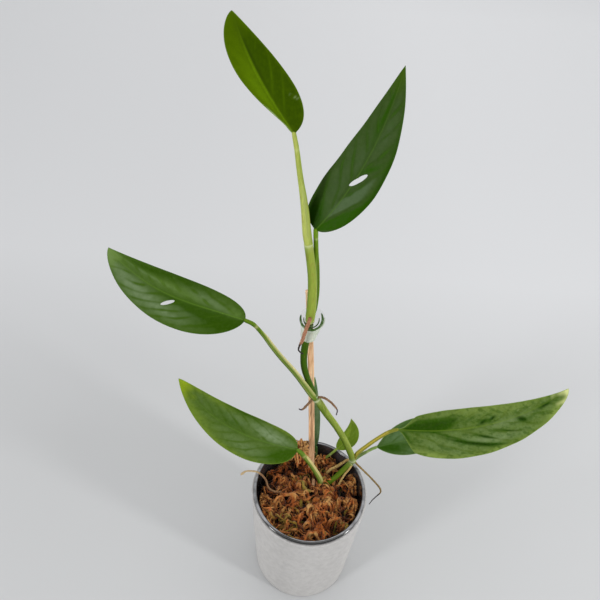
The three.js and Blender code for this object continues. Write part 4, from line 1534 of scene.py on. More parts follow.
STALKS: tuple[Stalk, ...] = (
    Stalk(Limb(((-17.3, 20, 341.5, 2.5), (-18.5, 20, 347, 2.3), (-20.5, 19.6, 362, 1.95),
                (-22.6, 19, 375, 1.6), (-24.7, 18.6, 387, 1.4), (-26.5, 18.2, 398, 1.25),
                (-28.1, 18, 405.4, 1)), (0.3, -0.9, 0.2), sunk=(2.6, 1.6)),
          LivingStem("stalk_pale", "#6f8a26", "#b9c262", "#d3da96"), 0.3, 0.6, -0.6, 0.85),
    Stalk(Limb(((-11.6, 21.5, 281.5, 1.8), (-10.3, 24.8, 289, 1.7), (-10, 25.7, 302, 1.6),
                (-11.7, 24.8, 324, 1.5), (-13.2, 21.8, 342.3, 1.35), (-13.8, 18.6, 351, 1.25)),
               (0.3, -0.8, 0.4), sunk=(0, 1.2)),
          LivingStem("stalk_deep", "#47700a", "#78981e"), 0.1, 0.7, -0.4, 0.7),
    Stalk(Limb(((-3.2, 13.4, 211, 1.9), (-6.1, 12.2, 216, 1.8), (-11.9, 11, 227.6, 1.7),
                (-19.6, 9.5, 242.6, 1.5), (-28.7, 8, 257.9, 1.4), (-34.7, 7, 269, 1.3),
                (-39.9, 6, 279.7, 1.2), (-45.8, 5, 289.2, 1.25), (-50.2, 5, 291.8, 1.15)),
               (0.45, -0.5, 0.7), sunk=(0, 1.2)),
          LivingStem("stalk_left", "#3f600a", "#7f9a2c", "#e0d69a"), 1.0, 0.82, 0.9, 0.6, strip_at=0.95),
    Stalk(Limb(((9.2, 9.4, 101, 1.9), (7.8, 8.8, 112, 1.85), (2.1, 9, 126.5, 1.75), (-4.3, 9.8, 138.6, 1.65),
                (-8.6, 11, 144.6, 1.7), (-12.2, 12, 147.6, 1.4)), (0.6, -0.3, 0.7), sunk=(0, 1.2)),
          LivingStem("stalk_low_left", "#43660e", "#7f9f3c", "#dcc98a"), 0.95, 0.75, 0.6, 0.6, buried=3.0,
          strip_at=0.35),
    Stalk(Limb(((33.9, 23, 121.5, 1.6), (36.2, 23, 132, 1.6), (42.2, 22.6, 144.5, 1.45),
                (49.6, 21.2, 159.4, 1.35), (55.9, 20.2, 169.6, 1.35), (60.6, 20, 173.2, 1.2)),
               (-0.3, -0.5, 0.8), sunk=(0, 1.2)),
          LivingStem("stalk_right", "#66721e", "#989640", "#cfba52"), 0.9, 0.85, dry_foot=0.9),
    Stalk(Limb(((34.5, 24, 120.5, 1.4), (39.1, 27, 122.8, 1.4), (43.8, 28.2, 126.8, 1.2),
                (48.3, 29.5, 130.2, 1.15), (51.4, 30, 132.3, 1.1)), (-0.3, -0.5, 0.8), sunk=(0, 1)),
          LivingStem("stalk_behind", "#6a8a44", "#93ab64"), 0.3, 0.6),
    Stalk(Limb(((7.5, 30, 84, 1.1), (10.5, 31.2, 99, 1.1), (12.8, 32, 107.2, 1.05), (16.6, 33.1, 112.4, 1),
                (20.7, 34.6, 117.8, 1)), (-0.5, -0.5, 0.7), sunk=(0, 1)),
          LivingStem("stalk_small", "#7c963a", "#a3b860"), 0.3, 0.6),
    Stalk(Limb(((5.5, 33, 84, 1.4), (4.7, 34.4, 98, 1.4), (4.1, 36.2, 109, 1.3), (3.8, 37.8, 115, 1.2)),
               (0.6, -0.7, 0.3)),
          LivingStem("stalk_back", "#4d7038", "#678c4c"), 0.2, 0.6),
)


# Leaf blades


class Tint(Enum):
    """What a patch does to a blade's skin: painted sheen, deep green, yellow glow or the painted shade of a
    fold.
    """

    BLOOM = "bloom"
    DEEP = "deep"
    GLOW = "glow"
    DARK = "dark"


@dataclass(frozen=True)
class Patch:
    """A soft oval on a blade, in shares along and across it.

    Attributes:
        tint: what it does.
        along, over: its middle.
        long, wide: how far it reaches.
        lean: how far it slants forward towards the margin.
        amount: how strong it is.
        sink: how deep it dents the skin, in mm.
        crisp: how sharp its border is.
    """

    tint: Tint
    along: float
    over: float
    long: float
    wide: float
    lean: float = 0.0
    amount: float = 1.0
    sink: float = 0.0
    crisp: int = 2

    def weight(self, along: Array, over: Array) -> Array:
        """A bell along the slanted oval, from 0 to 1, whose shoulders square up with crisp.

        Args:
            along, over: shares along and across the blade.

        Returns:
            The patch's strength there, before its amount.
        """
        away = along - self.along - self.lean * (over - self.over)
        aside = (over - self.over) / self.wide
        return np.exp(-((away / self.long) ** self.crisp) - aside**self.crisp)


@dataclass(frozen=True)
class LeafSkin:
    """The skin of a blade.

    Attributes:
        base, light: its main green, in the valleys, and a lighter green painted on the pillows between veins
            as the light they catch.
        deep, bloom, glow: a dark, saturated green, which also paints the shade in the valleys by the veins, a
            grey green of painted sheen and glints, and a yellow green.
        rib, tip, margin, under: the veins, the tip, the thin edge and the underside.
        fold: the colour that painted shade in folds, hollows and curled margins is multiplied by.
        blotch: how strongly it is mottled with the deep green.
    """

    name: str
    base: str
    light: str
    deep: str
    bloom: str
    glow: str
    rib: str
    tip: str
    margin: str
    under: str
    fold: str = "#a3a889"
    blotch: float = 0.12
    roughness: float = 0.4
    gloss: float = 0.06

    def material(self) -> Material:
        """Mottled green by the mesh's values, a fine net of veinlets from cells, and a satin sheen.

        Returns:
            The material.
        """
        s = Shader(self.name, Specular_IOR_Level=self.gloss)
        mottle = s.span(s.noise(7, 5), 0.3, 0.7)
        # painted light: the pillows between the veins are lighter, as where the light catches them
        pillow = s.times(s.value("pillow"), s.span(mottle, 0, 1, 0.1, 0.75))
        crinkle = s.span(s.noise(2.0, 4), 0.35, 0.65, 0.0, 0.45)
        colour = s.blend(s.plus(pillow, crinkle), self.base, self.light)
        net = s.span(s.cells(1.5, "DISTANCE_TO_EDGE"), 0.02, 0.12, 1, 0)
        colour = s.blend(s.times(net, 0.12), colour, self.deep)
        streak = s.span(s.noise(1.6, 3), 0.3, 0.7, 0.85, 1.1)
        # painted sheen and glints, the deep green that also carries painted shade by the veins, and yellow
        # glow
        for key, paint in (("bloom", self.bloom), ("deep", self.deep), ("glow", self.glow)):
            colour = s.blend(s.times(s.value(key), streak), colour, paint)
        # painted shade in folds, hollows and curled margins
        colour = s.blend(s.value("dark"), colour, self.fold, "MULTIPLY")
        blotches = s.span(s.noise(2.6, 3, s.stretched(0.6, 1, 1)), 0.5, 0.66, 0, self.blotch)
        colour = s.blend(blotches, colour, self.deep)
        lines = {"rib": self.rib, "tip": self.tip, "edge": self.margin, "under": self.under}
        for key, paint in lines.items():
            colour = s.blend(s.value(key), colour, paint)
        relief = s.plus(s.times(net, -0.6), s.noise(0.45, 2))
        rough = s.span(s.noise(6, 3), 0.3, 0.7, self.roughness - 0.05, self.roughness + 0.09)
        return s.finish(colour, rough, relief, 0.05, 0.4)


def patches(**rows: tuple[Row, ...]) -> tuple[Patch, ...]:
    """Patches from rows of their numbers, under the names of their tints."""
    return tuple(Patch(Tint(tint), *row) for tint, group in rows.items() for row in group)


# Side veins: how steeply they slant forward, how that grows outward, and how far they stray, in veins.
VEIN_LEAN, VEIN_CURVE, VEIN_STRAY = 2.1, 0.02, 0.11
# Widths and a depth in mm: of a vein, of the valley by it, and of the groove over the midrib.
VEIN_WIDTH, VALLEY_WIDTH, RIB_WIDTH, RIB_DEPTH = 0.5, 0.8, 0.55, 0.22


@dataclass(frozen=True)
class Half:
    """One half of a blade.

    Attributes:
        width: its greatest width.
        rise, fall: powers that round off its base and its tip.
        wedge: the share of its length over which its base is drawn in.
    """

    width: float
    rise: float
    fall: float
    wedge: float = 0.0

    def share(self, along: Array) -> Array:
        """A rising power times a falling power, one at their peak, less by the wedge.

        Args:
            along: shares of the length.

        Returns:
            The width there over the greatest.
        """
        top = self.rise / (self.rise + self.fall)
        whole = (along / top) ** self.rise * ((1 - along) / (1 - top)) ** self.fall
        return whole * (0.15 + 0.85 * smooth(0, self.wedge, along)) if self.wedge else whole


@dataclass(frozen=True)
class Window:
    """An oval hole in a blade, beside a side vein.

    Attributes:
        along, over: its middle, as shares along and across the blade.
        length, width: its size.
        turn: how far its length is turned from the midrib, in degrees.
    """

    along: float
    over: float
    length: float
    width: float
    turn: float


@dataclass(frozen=True)
class Blade:
    """A leaf blade, as a sheet over the way along its midrib and across it.

    Attributes:
        tip: where it ends.
        face: which way its upper side looks.
        sag, sweep: how far the midrib bows towards the face and sideways.
        left, right: its two halves, seen from above with the tip ahead.
        fold, droop: how far the halves lift from the midrib, and curve back down.
        wave, waves: height and number of the ripples along the margin.
        keel: how far the midrib stands out below.
        veins: side veins on a half.
        quilt, pucker: how far the skin lifts between veins, and height of the irregular dents.
        tip_from, tip_fade: where the tip's colour starts, and how strong it is.
        vein_shade: how strongly painted shade darkens the valleys by the veins.
        rib_shift: how far across the midrib has wandered halfway up, as a share of that half.
        base: where it starts, set once its stalk's end is known.
    """

    tip: Row
    face: Row
    sag: float
    sweep: float
    left: Half
    right: Half
    fold: float
    droop: float
    wave: float
    waves: int
    keel: float
    skin: LeafSkin
    slot: Slot = Slot.MATURE_LEAF
    veins: float = 7.0
    quilt: float = 0.2
    pucker: float = 0.1
    tip_from: float = 0.9
    tip_fade: float = 0.4
    vein_shade: float = 0.22
    rib_shift: float = 0.0
    window: Window | None = None
    patches: tuple[Patch, ...] = ()
    step: float = 0.42
    thickness: float = 0.5
    base: Row = (0.0, 0.0, 0.0)

    def frame(self, along: Array) -> tuple[Array, Array, Array]:
        """The midrib, a parabola bowed off the straight line from base to tip.

        Args:
            along: shares along the midrib.

        Returns:
            Its points there, their normals and the ways across.
        """
        axis = np.array(self.tip) - self.base
        ahead = unit(axis)
        face = np.array(self.face)
        face = unit(face - (face @ ahead) * ahead)
        bow = face * self.sag + np.cross(ahead, face) * self.sweep
        t = along[..., None]
        centre = self.base + axis * t + bow * 4 * t * (1 - t)
        tangent = unit(axis + bow * (4 - 8 * t))
        normal = unit(face - (tangent @ face)[..., None] * tangent)
        return centre, normal, np.cross(tangent, normal)

    def plain(self, along: Array, over: Array) -> Array:
        """The smooth sheet: sideways from the midrib, lifted by fold and ripple, pulled back by droop.

        Args:
            along: shares along the midrib.
            over: shares across, negative on the left.

        Returns:
            The points.
        """
        centre, normal, across = self.frame(along)
        is_left = over < 0
        profile = np.where(is_left, self.left.share(along), self.right.share(along))
        half = np.where(is_left, self.left.width, self.right.width)
        width = half * profile
        reach = np.abs(over) * width
        phase = np.where(is_left, 0.6, 2.4)
        ripple = self.wave * profile * np.abs(over) ** 3 * np.sin(2 * math.pi * self.waves * along + phase)
        lift = self.fold * reach - self.droop * reach**2 / half + ripple
        return centre + across * (over * width)[..., None] + normal * lift[..., None]

    def rows(self) -> Array:
        """Where the blade's rows stand, so that the outline's edge advances evenly.

        Returns:
            Shares along the midrib.
        """
        fine = np.concatenate([np.linspace(0, 1, 400) ** 4 * 0.1, np.linspace(0.1, 1, 2400)[1:]])
        fine = np.clip(fine, 1e-7, 1 - 1e-6)
        run = 0
        for side in (-1.0, 1.0):
            run = run + running_length(self.plain(fine, np.full_like(fine, side)))
        count = int(run[-1] / 2 / self.step)
        return np.interp(np.linspace(0, run[-1], count), run, fine)

    def from_rib(self, along: Array, over: Array) -> tuple[Array, Array]:
        """How far places lie from the midrib and from the margin.

        Args:
            along: shares along the midrib.
            over: shares across, negative on the left.

        Returns:
            The distance from the midrib, left negative, and the distance in from the margin, in mm.
        """
        profile = np.where(over < 0, self.left.share(along), self.right.share(along))
        width = np.where(over < 0, self.left.width, self.right.width) * profile
        half = self.left if self.rib_shift < 0 else self.right
        rib = self.rib_shift * smooth(0.0, 0.7, along) * half.width * half.share(along)
        return over * width - rib, (1 - np.abs(over)) * width

    def relief(self, along: Array, over: Array, length: float) -> Section:
        """What rises from the smooth sheet, and the values the skin reads.

        A side vein leaves the midrib slanting steeply forward, so a point belongs to the vein whose foot
        lies at its own place less a forward shift that grows with its distance from the midrib. The skin
        lifts as a sine between veins and sinks in a bell on each one, and patches dent it.

        Args:
            along: shares along the midrib.
            over: shares across, negative on the left.
            length: the blade's length.

        Returns:
            The height in mm, and the values pillow, bloom, deep, glow, dark, rib, tip and edge.
            Pillow and bloom are painted light; dark, and deep by the veins, are painted shade.
        """
        signed, inward = self.from_rib(along, over)
        reach = np.abs(signed)
        foot = along - (VEIN_LEAN * reach + VEIN_CURVE * reach**2) / length
        phase = self.veins * (foot + 0.12 * foot**2) + np.where(signed < 0, 0.15, 0.6)
        spot = np.stack([along * length, signed], -1)
        phase = phase + VEIN_STRAY * ripples(spot, 24, 55)
        nearest = np.abs(phase - np.round(phase)) * length / self.veins / math.hypot(1, VEIN_LEAN)
        # painted shade in the valleys by the veins, uneven along them
        valley_shade = self.vein_shade * np.clip(0.6 + 0.55 * ripples(spot, 12, 57), 0, 1.3)
        reached = smooth(0.3, 2.5, reach) * smooth(0.2, 2.5, inward)
        ends = smooth(0.0, 0.06, along) * (1 - smooth(0.85, 1, along))
        pillow = np.abs(np.sin(math.pi * phase)) ** 0.8 * reached * ends
        vein = peak(nearest, VEIN_WIDTH) * reached * ends
        valley = peak(nearest, VALLEY_WIDTH) * reached * ends
        weights = {tint: 0 * along for tint in Tint}
        dent = 0 * along
        for patch in self.patches:
            weight = patch.weight(along, over)
            weights[patch.tint] = weights[patch.tint] + patch.amount * weight
            dent = dent + patch.sink * weight
        dents = ripples(spot, 9, 51) + 0.35 * ripples(spot, 3.5, 52)
        height = (self.quilt * (pillow - 0.5 * reached * ends) - 0.5 * self.quilt * vein
                  - RIB_DEPTH * peak(reach, RIB_WIDTH) * (1 - 0.6 * along)
                  + self.pucker * dents * reached * ends - dent)
        uneven = 0.12 * ripples(spot, 6, 56)
        tip = self.tip_fade * smooth(self.tip_from - 0.1, 1.0, along + 0.02 * ripples(spot, 9, 53))
        bloom = weights[Tint.BLOOM] * (0.8 + uneven + 0.1 * pillow)
        values = {
            "pillow": np.clip(0.1 + 0.9 * pillow, 0, 1),
            "bloom": np.clip(bloom - 1.1 * valley_shade * valley, 0, 0.95),
            "deep": np.clip(weights[Tint.DEEP] * (1 + uneven) + valley_shade * valley, 0, 0.95),
            "glow": np.clip(weights[Tint.GLOW] * (0.85 + uneven), 0, 0.95),
            "dark": np.clip(weights[Tint.DARK], 0, 1),
            "rib": np.maximum(0.7 * peak(reach, 0.42) * (1 - 0.75 * along), 0.3 * vein * valley_shade),
            "tip": tip,
            "edge": 0.75 * peak(inward, 0.32) * smooth(0.0, 0.05, along),
        }
        return height, values

    def shape(self) -> Shape:
        """The blade as a closed wall: relief on both faces, a keel below, thin at the margin, window cut.

        Returns:
            The wall, with the values of relief and the value `under`.
        """
        length = float(np.linalg.norm(np.array(self.tip) - self.base))
        rows = self.rows()
        half = max(self.left.width, self.right.width)
        even = np.linspace(0, 1, int(half / self.step) + 1)
        columns = np.concatenate([-even[:0:-1], even])
        along, over = np.meshgrid(rows, columns, indexing="ij")
        height, values = self.relief(along, over, length)
        plain = self.plain(along, over)
        sheet = plain + self.normals(plain) * height[..., None]
        points, normals = sheet.reshape(-1, 3), self.normals(sheet).reshape(-1, 3)
        faces = grid_quads(len(rows), len(columns), False)
        if self.window:
            faces, points = self.opened(points, faces)
        inward = (1 - np.abs(over)) * half
        body = (self.thickness * (0.62 + 0.38 * smooth(0, 2.5, inward))).ravel()
        reach = np.abs(self.from_rib(along, over)[0])
        keel = (self.keel + (0.2 - self.keel) * along) * peak(reach, 0.75) * smooth(1.0, 0.97, along)
        wall, quads, source = thickened(points, normals, faces, body / 2, body / 2 + keel.ravel() * 0.9)
        carried = {k: v.ravel()[source] for k, v in values.items()}
        carried["under"] = 0.8 * (np.arange(len(source)) >= len(source) // 2)
        return Shape(wall, quads, values=carried)

    @staticmethod
    def normals(sheet: Array) -> Array:
        """Unit normals of a grid: the way across times the way along."""
        ahead, across = np.gradient(sheet, axis=0), np.gradient(sheet, axis=1)
        return unit(np.cross(across, ahead))

    def opened(self, points: Array, faces: Array) -> tuple[Array, Array]:
        """Cuts the window: faces whose middle lies in the oval go, and the edge is drawn onto the oval.

        Args:
            points: the sheet.
            faces: its quads.

        Returns:
            The faces that stay and the moved points.
        """
        w = self.window
        normal, across = (rows[0] for rows in self.frame(np.array([w.along]))[1:])
        ahead = np.cross(normal, across)
        middle = self.plain(np.array([w.along]), np.array([w.over]))[0]
        turn = math.radians(w.turn)
        long_way = ahead * math.cos(turn) - across * math.sin(turn)
        short_way = -ahead * math.sin(turn) - across * math.cos(turn)
        away = points - middle
        u, v = away @ long_way / (w.length / 2), away @ short_way / (w.width / 2)
        distance = np.hypot(u, v)
        gone = np.hypot(u[faces].mean(1), v[faces].mean(1)) < 1
        rim = np.intersect1d(faces[gone], faces[~gone])
        stretch = (1 / distance[rim] - 1)[:, None]
        shift = (u[rim] * w.length / 2)[:, None] * long_way + (v[rim] * w.width / 2)[:, None] * short_way
        moved = points.copy()
        moved[rim] += shift * stretch
        return faces[~gone], moved


YOUNG = LeafSkin("young_leaf", "#4a6400", "#506a00", "#344c00", "#a8bd80", "#628206", "#5f7e06", "#4a6400",
                 "#66801a", "#8ba452", roughness=0.45, gloss=0.03)
UPRIGHT = LeafSkin("upright_leaf", "#384f1f", "#43592a", "#2c5600", "#556b46", "#527020", "#55782a",
                   "#46640a", "#42641c", "#5f8444", gloss=0.02)
LEFT = LeafSkin("left_leaf", "#3f5b14", "#4d682a", "#2d4c00", "#788c66", "#66843a", "#62862a", "#7c9850",
                "#4c7020", "#668a48")
LOW_LEFT = LeafSkin("low_left_leaf", "#4a631e", "#577032", "#325300", "#7c9068", "#748c2e", "#5c7e2c",
                    "#8ea418", "#809a3a", "#6b9050", blotch=0.25)
LONG = LeafSkin("long_leaf", "#536a21", "#647b3f", "#2b5000", "#84976a", "#849848", "#6f8c28", "#dde39a",
                "#86a04c", "#6f9050", blotch=0.5)
BEHIND = LeafSkin("leaf_behind", "#3f5a20", "#4b6834", "#284b00", "#66805a", "#7c9650", "#4f7030", "#5f8640",
                  "#8aa468", "#6f9050")
SMALL = LeafSkin("small_leaf", "#66821a", "#708c30", "#547014", "#98ac68", "#88a234", "#8ca044", "#98aa4c",
                 "#9fb060", "#86a050", roughness=0.45, gloss=0.05)
BACK = LeafSkin("back_leaf", "#526c40", "#647e4c", "#38562c", "#7c9070", "#6c8448", "#6a9050", "#64804c",
                "#5a8450", "#54804c", roughness=0.45, gloss=0.1)

# Among the patches, the grey sheen rows are painted sheen and glints, and the dark rows are painted shade in
# folds, hollows and curled margins. The young leaf's first deep row is painted shade over its right half, and
# the upright leaf's fourth deep row is painted shade in the corner at its base.
BLADES: tuple[Blade, ...] = (
    Blade((-59.3, 38, 452), (0.1, -0.8, 0.5), -1.5, -2.6, Half(8.7, 1.5, 0.68), Half(12.6, 0.42, 0.93),
          0.25, 0.2, 0.3, 3, 0.7, YOUNG, Slot.YOUNG_LEAF, veins=6, quilt=0.06, pucker=0.06, tip_from=0.85,
          tip_fade=0.8, patches=patches(
              deep=((0.35, 0.52, 0.5, 0.5, 0, 0.9, 0, 8), (0.8, 0.4, 0.3, 0.4, 0, 0.5)),
              dark=((0.55, 0.1, 0.3, 0.07, 0, 0.6), (0.95, 0.0, 0.12, 0.7, 0, 0.5)),
              glow=((0.32, -0.02, 0.4, 0.07, 0, 1.2, 0, 4), (0.4, -0.4, 0.24, 0.4, 0, 0.8),
                    (0.5, 0.55, 0.02, 0.4, 0.4, 0.3), (0.3, 0.5, 0.02, 0.35, 0.4, 0.25)),
              bloom=((0.264, 0.72, 0.007, 0.06, 0, 3.0), (0.225, 0.8, 0.007, 0.06, 0, 3.0),
                     (0.203, 0.87, 0.006, 0.05, 0, 3.0), (0.15, -1.0, 0.12, 0.17, 0, 1.6, 0, 4)),
          )),
    Blade((20.7, 38, 434), (-0.42, -0.8, 0.38), 0.5, 6.3, Half(14.8, 0.32, 0.92), Half(13.3, 0.62, 1),
          0.12, 0.15, 0.5, 4, 1, UPRIGHT, veins=5.5, quilt=0.16, pucker=0.08, tip_fade=0.6,
          window=Window(0.383, 0.115, 11.6, 2.6, -27), vein_shade=0.5, patches=patches(
              deep=((0.09, 0.55, 0.12, 0.6, 0.33, 0.95, 0, 8), (0.45, 0.97, 0.3, 0.14, 0, 0.8),
                    (0.78, -0.17, 0.16, 0.14, 0, 0.9), (0.03, -0.4, 0.1, 0.5, -0.1, 1.4, 0.2),
                    (0.47, 0.35, 0.022, 0.32, 0.14, 0.9, 0.1)),
              dark=((0.03, -0.55, 0.1, 0.5, -0.14, 1.0, 0, 4), (0.42, 0.97, 0.25, 0.1, 0, 0.5)),
              bloom=((0.26, 0.3, 0.075, 0.36, 0.33, 1.4, 0, 6), (0.28, -0.4, 0.2, 0.4, -0.3, 0.3),
                     (0.68, 0.35, 0.14, 0.35, 0.2, 0.3), (0.5, -0.2, 0.1, 0.2, -0.3, 0.3)),
          )),
    Blade((-131.8, 25, 322.5), (-0.1, -0.65, 0.75), 2, -4.4, Half(19.8, 0.66, 0.72), Half(10.7, 0.42, 1),
          0.18, 0.2, 0.5, 4, 1, LEFT, quilt=0.1, tip_from=0.95, tip_fade=0.6, rib_shift=-0.2, vein_shade=0.42,
          window=Window(0.495, -0.38, 8.3, 2.1, 42), patches=patches(
              deep=((0.08, -0.6, 0.2, 0.6, 0.25, 1.4), (0.72, 0.5, 0.2, 0.4, -0.15, 0.9),
                    (0.42, 0.8, 0.2, 0.2, 0, 0.7), (0.42, -0.22, 0.16, 0.07, 0, 0.6),
                    (0.3, -0.22, 0.24, 0.16, 0, 0.9)),
              bloom=((0.75, -0.6, 0.22, 0.32, 0, 0.75), (0.47, -0.66, 0.16, 0.16, 0.4, 0.5),
                     (0.25, 0.25, 0.14, 0.35, 0.2, 0.6), (0.36, -0.42, 0.1, 0.14, 0.4, 0.4),
                     (0.68, 0.12, 0.2, 0.12, 0, 0.5)),
              glow=((0.5, 0.15, 0.3, 0.25, 0, 0.5), (0.93, -0.05, 0.08, 0.4, 0, 0.3),
                    (0.06, 0.2, 0.06, 0.3, 0, 0.4), (0.88, 0.2, 0.07, 0.5, 0, 0.2)),
              dark=((0.5, 0.97, 0.35, 0.07, 0, 0.5),),
          )),
    Blade((-107, 43, 184.2), (0, -0.6, 0.75), 4, -9, Half(18, 0.5, 0.9), Half(14, 0.36, 0.75),
          0.2, 0.2, 0.5, 4, 1, LOW_LEFT, veins=6.5, pucker=0.14, tip_fade=0.95,
          rib_shift=-0.15, vein_shade=0.25, patches=patches(
              deep=((0.06, -0.5, 0.12, 0.5, -0.1, 1.5), (0.5, 0.95, 0.2, 0.18, 0, 0.9),
                    (0.52, 0.15, 0.14, 0.3, 0, 0.55)),
              dark=((0.4, 0.98, 0.3, 0.08, 0, 0.4),),
              bloom=((0.2, 0.38, 0.14, 0.32, 0.2, 1.1), (0.5, 0.4, 0.08, 0.25, 0, 0.4),
                     (0.33, -0.55, 0.18, 0.3, 0.3, 0.35)),
              glow=((0.8, -0.75, 0.2, 0.3, 0, 0.7), (0.72, 0.85, 0.15, 0.2, 0, 0.7),
                    (0.5, -0.95, 0.3, 0.12, 0, 0.6), (0.12, 0.95, 0.15, 0.12, 0, 0.6)),
          )),
    Blade((181.5, 42, 209.6), (-0.1, -0.6, 0.75), 3, 10.5, Half(14.2, 0.57, 1.2, 0.11),
          Half(21, 0.36, 0.66, 0.1), 0.2, 0.15, 0.8, 6, 1.1, LONG, quilt=0.3, pucker=0.22, tip_from=1.0,
          tip_fade=1.0, rib_shift=0.06, vein_shade=0.2, patches=patches(
              deep=((0.14, -0.3, 0.17, 0.36, -0.1, 1.9, 0, 4), (0.05, 0.7, 0.035, 0.5, 0.03, 0.9),
                    (0.48, -0.15, 0.022, 0.14, -0.1, 1.3, 0.8), (0.535, -0.24, 0.018, 0.13, -0.1, 1.3, 0.6),
                    (0.69, 0.26, 0.022, 0.15, 0.1, 1.3, 0.7), (0.84, 0.14, 0.05, 0.12, 0, 1.0, 0.3),
                    (0.42, 0.6, 0.034, 0.27, 0.5, 1.8, 0.9), (0.27, 0.22, 0.02, 0.2, 0.5, 0.7, 0.3),
                    (0.47, 0.42, 0.02, 0.12, 0.3, 1.2, 0.5), (0.41, -0.4, 0.02, 0.18, -0.2, 0.6, 0.3),
                    (0.6, 0.46, 0.014, 0.1, 0.3, 0.8, 0.3)),
              glow=((0.9, 0.95, 0.1, 0.3, 0, 1.2), (0.55, -0.85, 0.35, 0.25, 0, 0.55),
                    (0.68, -0.5, 0.12, 0.2, 0, 0.35), (0.15, 0.92, 0.12, 0.14, 0.1, 0.8),
                    (0.45, 0.97, 0.3, 0.1, 0, 0.6)),
              dark=((0.14, -0.25, 0.15, 0.25, -0.1, 0.45, 0, 4), (0.48, -0.15, 0.014, 0.12, -0.1, 1.0),
                    (0.535, -0.24, 0.012, 0.12, -0.1, 0.9), (0.69, 0.22, 0.014, 0.14, 0.1, 1.0),
                    (0.84, 0.14, 0.03, 0.1, 0, 0.8), (0.47, 0.42, 0.012, 0.14, 0.3, 0.7),
                    (0.6, 0.46, 0.01, 0.14, 0.3, 0.6), (0.33, -0.5, 0.012, 0.2, -0.2, 0.4),
                    (0.75, -0.3, 0.012, 0.2, -0.2, 0.4), (0.42, 0.6, 0.022, 0.25, 0.5, 0.9)),
              bloom=((0.5, 0.55, 0.12, 0.2, 0.5, 0.6), (0.25, 0.6, 0.1, 0.3, 0.2, 0.2),
                     (0.62, 0.12, 0.14, 0.14, 0, 0.5)),
          ), step=0.47),
    Blade((137.6, 62, 125.6), (-0.1, -0.6, 0.8), 2, -0.6, Half(16.2, 0.9, 1.3), Half(12, 0.8, 1.4),
          0.1, 0.15, 0.4, 4, 0.9, BEHIND, patches=patches(
              deep=((0.1, 0.4, 0.12, 0.4, 0, 1.5),),
              bloom=((0.22, -0.4, 0.15, 0.5, 0, 0.5),),
          ), step=0.55),
    Blade((29.4, 45, 147.2), (-0.1, -0.85, 0.4), -1, 4.4, Half(5.8, 0.55, 1.1), Half(8.2, 0.7, 0.9),
          0.2, 0.1, 0.2, 2, 0.6, SMALL, Slot.YOUNG_LEAF, veins=4, quilt=0.1, pucker=0.06, vein_shade=0.2,
          patches=patches(
              glow=((0.5, -0.4, 0.3, 0.4, 0, 0.8),),
          ), step=0.3),
    Blade((-2.8, 58, 180.5), (0.75, -0.6, 0.2), 0, -2.5, Half(7, 0.55, 1), Half(6, 0.65, 0.9),
          0.35, 0.1, 0.2, 2, 0.7, BACK, veins=5, quilt=0.1, pucker=0.06, vein_shade=0.1,
          patches=patches(
              bloom=((0.3, 0.4, 0.3, 0.4, 0, 0.4),),
          ), step=0.35),
)


@dataclass
class Foliage:
    """The eight leaves, each a stalk and the blade that grows from its end."""

    stalks: tuple[Stalk, ...] = STALKS
    blades: tuple[Blade, ...] = BLADES

    def build(self) -> None:
        """Dresses the stalks, and each blade from just past its stalk's end."""
        for number, (stalk, blade) in enumerate(zip(self.stalks, self.blades), 1):
            piece = stalk.limb.shape(stalk.section).piece(f"stalk_{number}")
            dress(piece, stalk.finish.material(), Slot.STALK, f"petiole_{number}")
            end, tangent = stalk.limb.end()
            grown = replace(blade, base=tuple(end + tangent * (GAP + 0.2)))
            piece = grown.shape().piece(f"blade_{number}")
            dress(piece, blade.skin.material(), blade.slot, f"leaf_blade_{number}")


# Aerial roots


@dataclass(frozen=True)
class DryRoot:
    """Dry aerial root: brown or straw cork, lighter where it is rubbed, its growing tip dark."""

    name: str
    bark: str
    rubbed: str
    tip: str
    slot: Slot = Slot.BROWN_ROOT

    def material(self) -> Material:
        """Bark broken by fine noise, turned to the tip's colour by the mesh's value `far`.

        Returns:
            The material.
        """
        s = Shader(self.name, Specular_IOR_Level=0.25)
        grain = s.noise(0.7, 4)
        colour = s.blend(s.span(grain, 0.35, 0.65), self.bark, self.rubbed)
        colour = s.blend(s.value("far"), colour, self.tip)
        return s.finish(colour, s.span(grain, 0.3, 0.7, 0.65, 0.9), grain, 0.15, 0.8)


HAIR_RADIUS = 0.045
HAIR_LENGTH = (0.5, 1.3)

STRAW = DryRoot("straw_root", "#9b7a42", "#d6b878", "#8c6a3c", Slot.STRAW_ROOT)
DULL = DryRoot("dull_root", "#6f5a34", "#a08650", "#3c3a36")
PINK = DryRoot("pink_root", "#8d5c44", "#bd8a6a", "#2c2522")
OLIVE = DryRoot("node_root", "#64482f", "#98785a", "#4a4148")
WORN = DryRoot("worn_root", "#7a563a", "#a8835f", "#c8ae86", Slot.STRAW_ROOT)


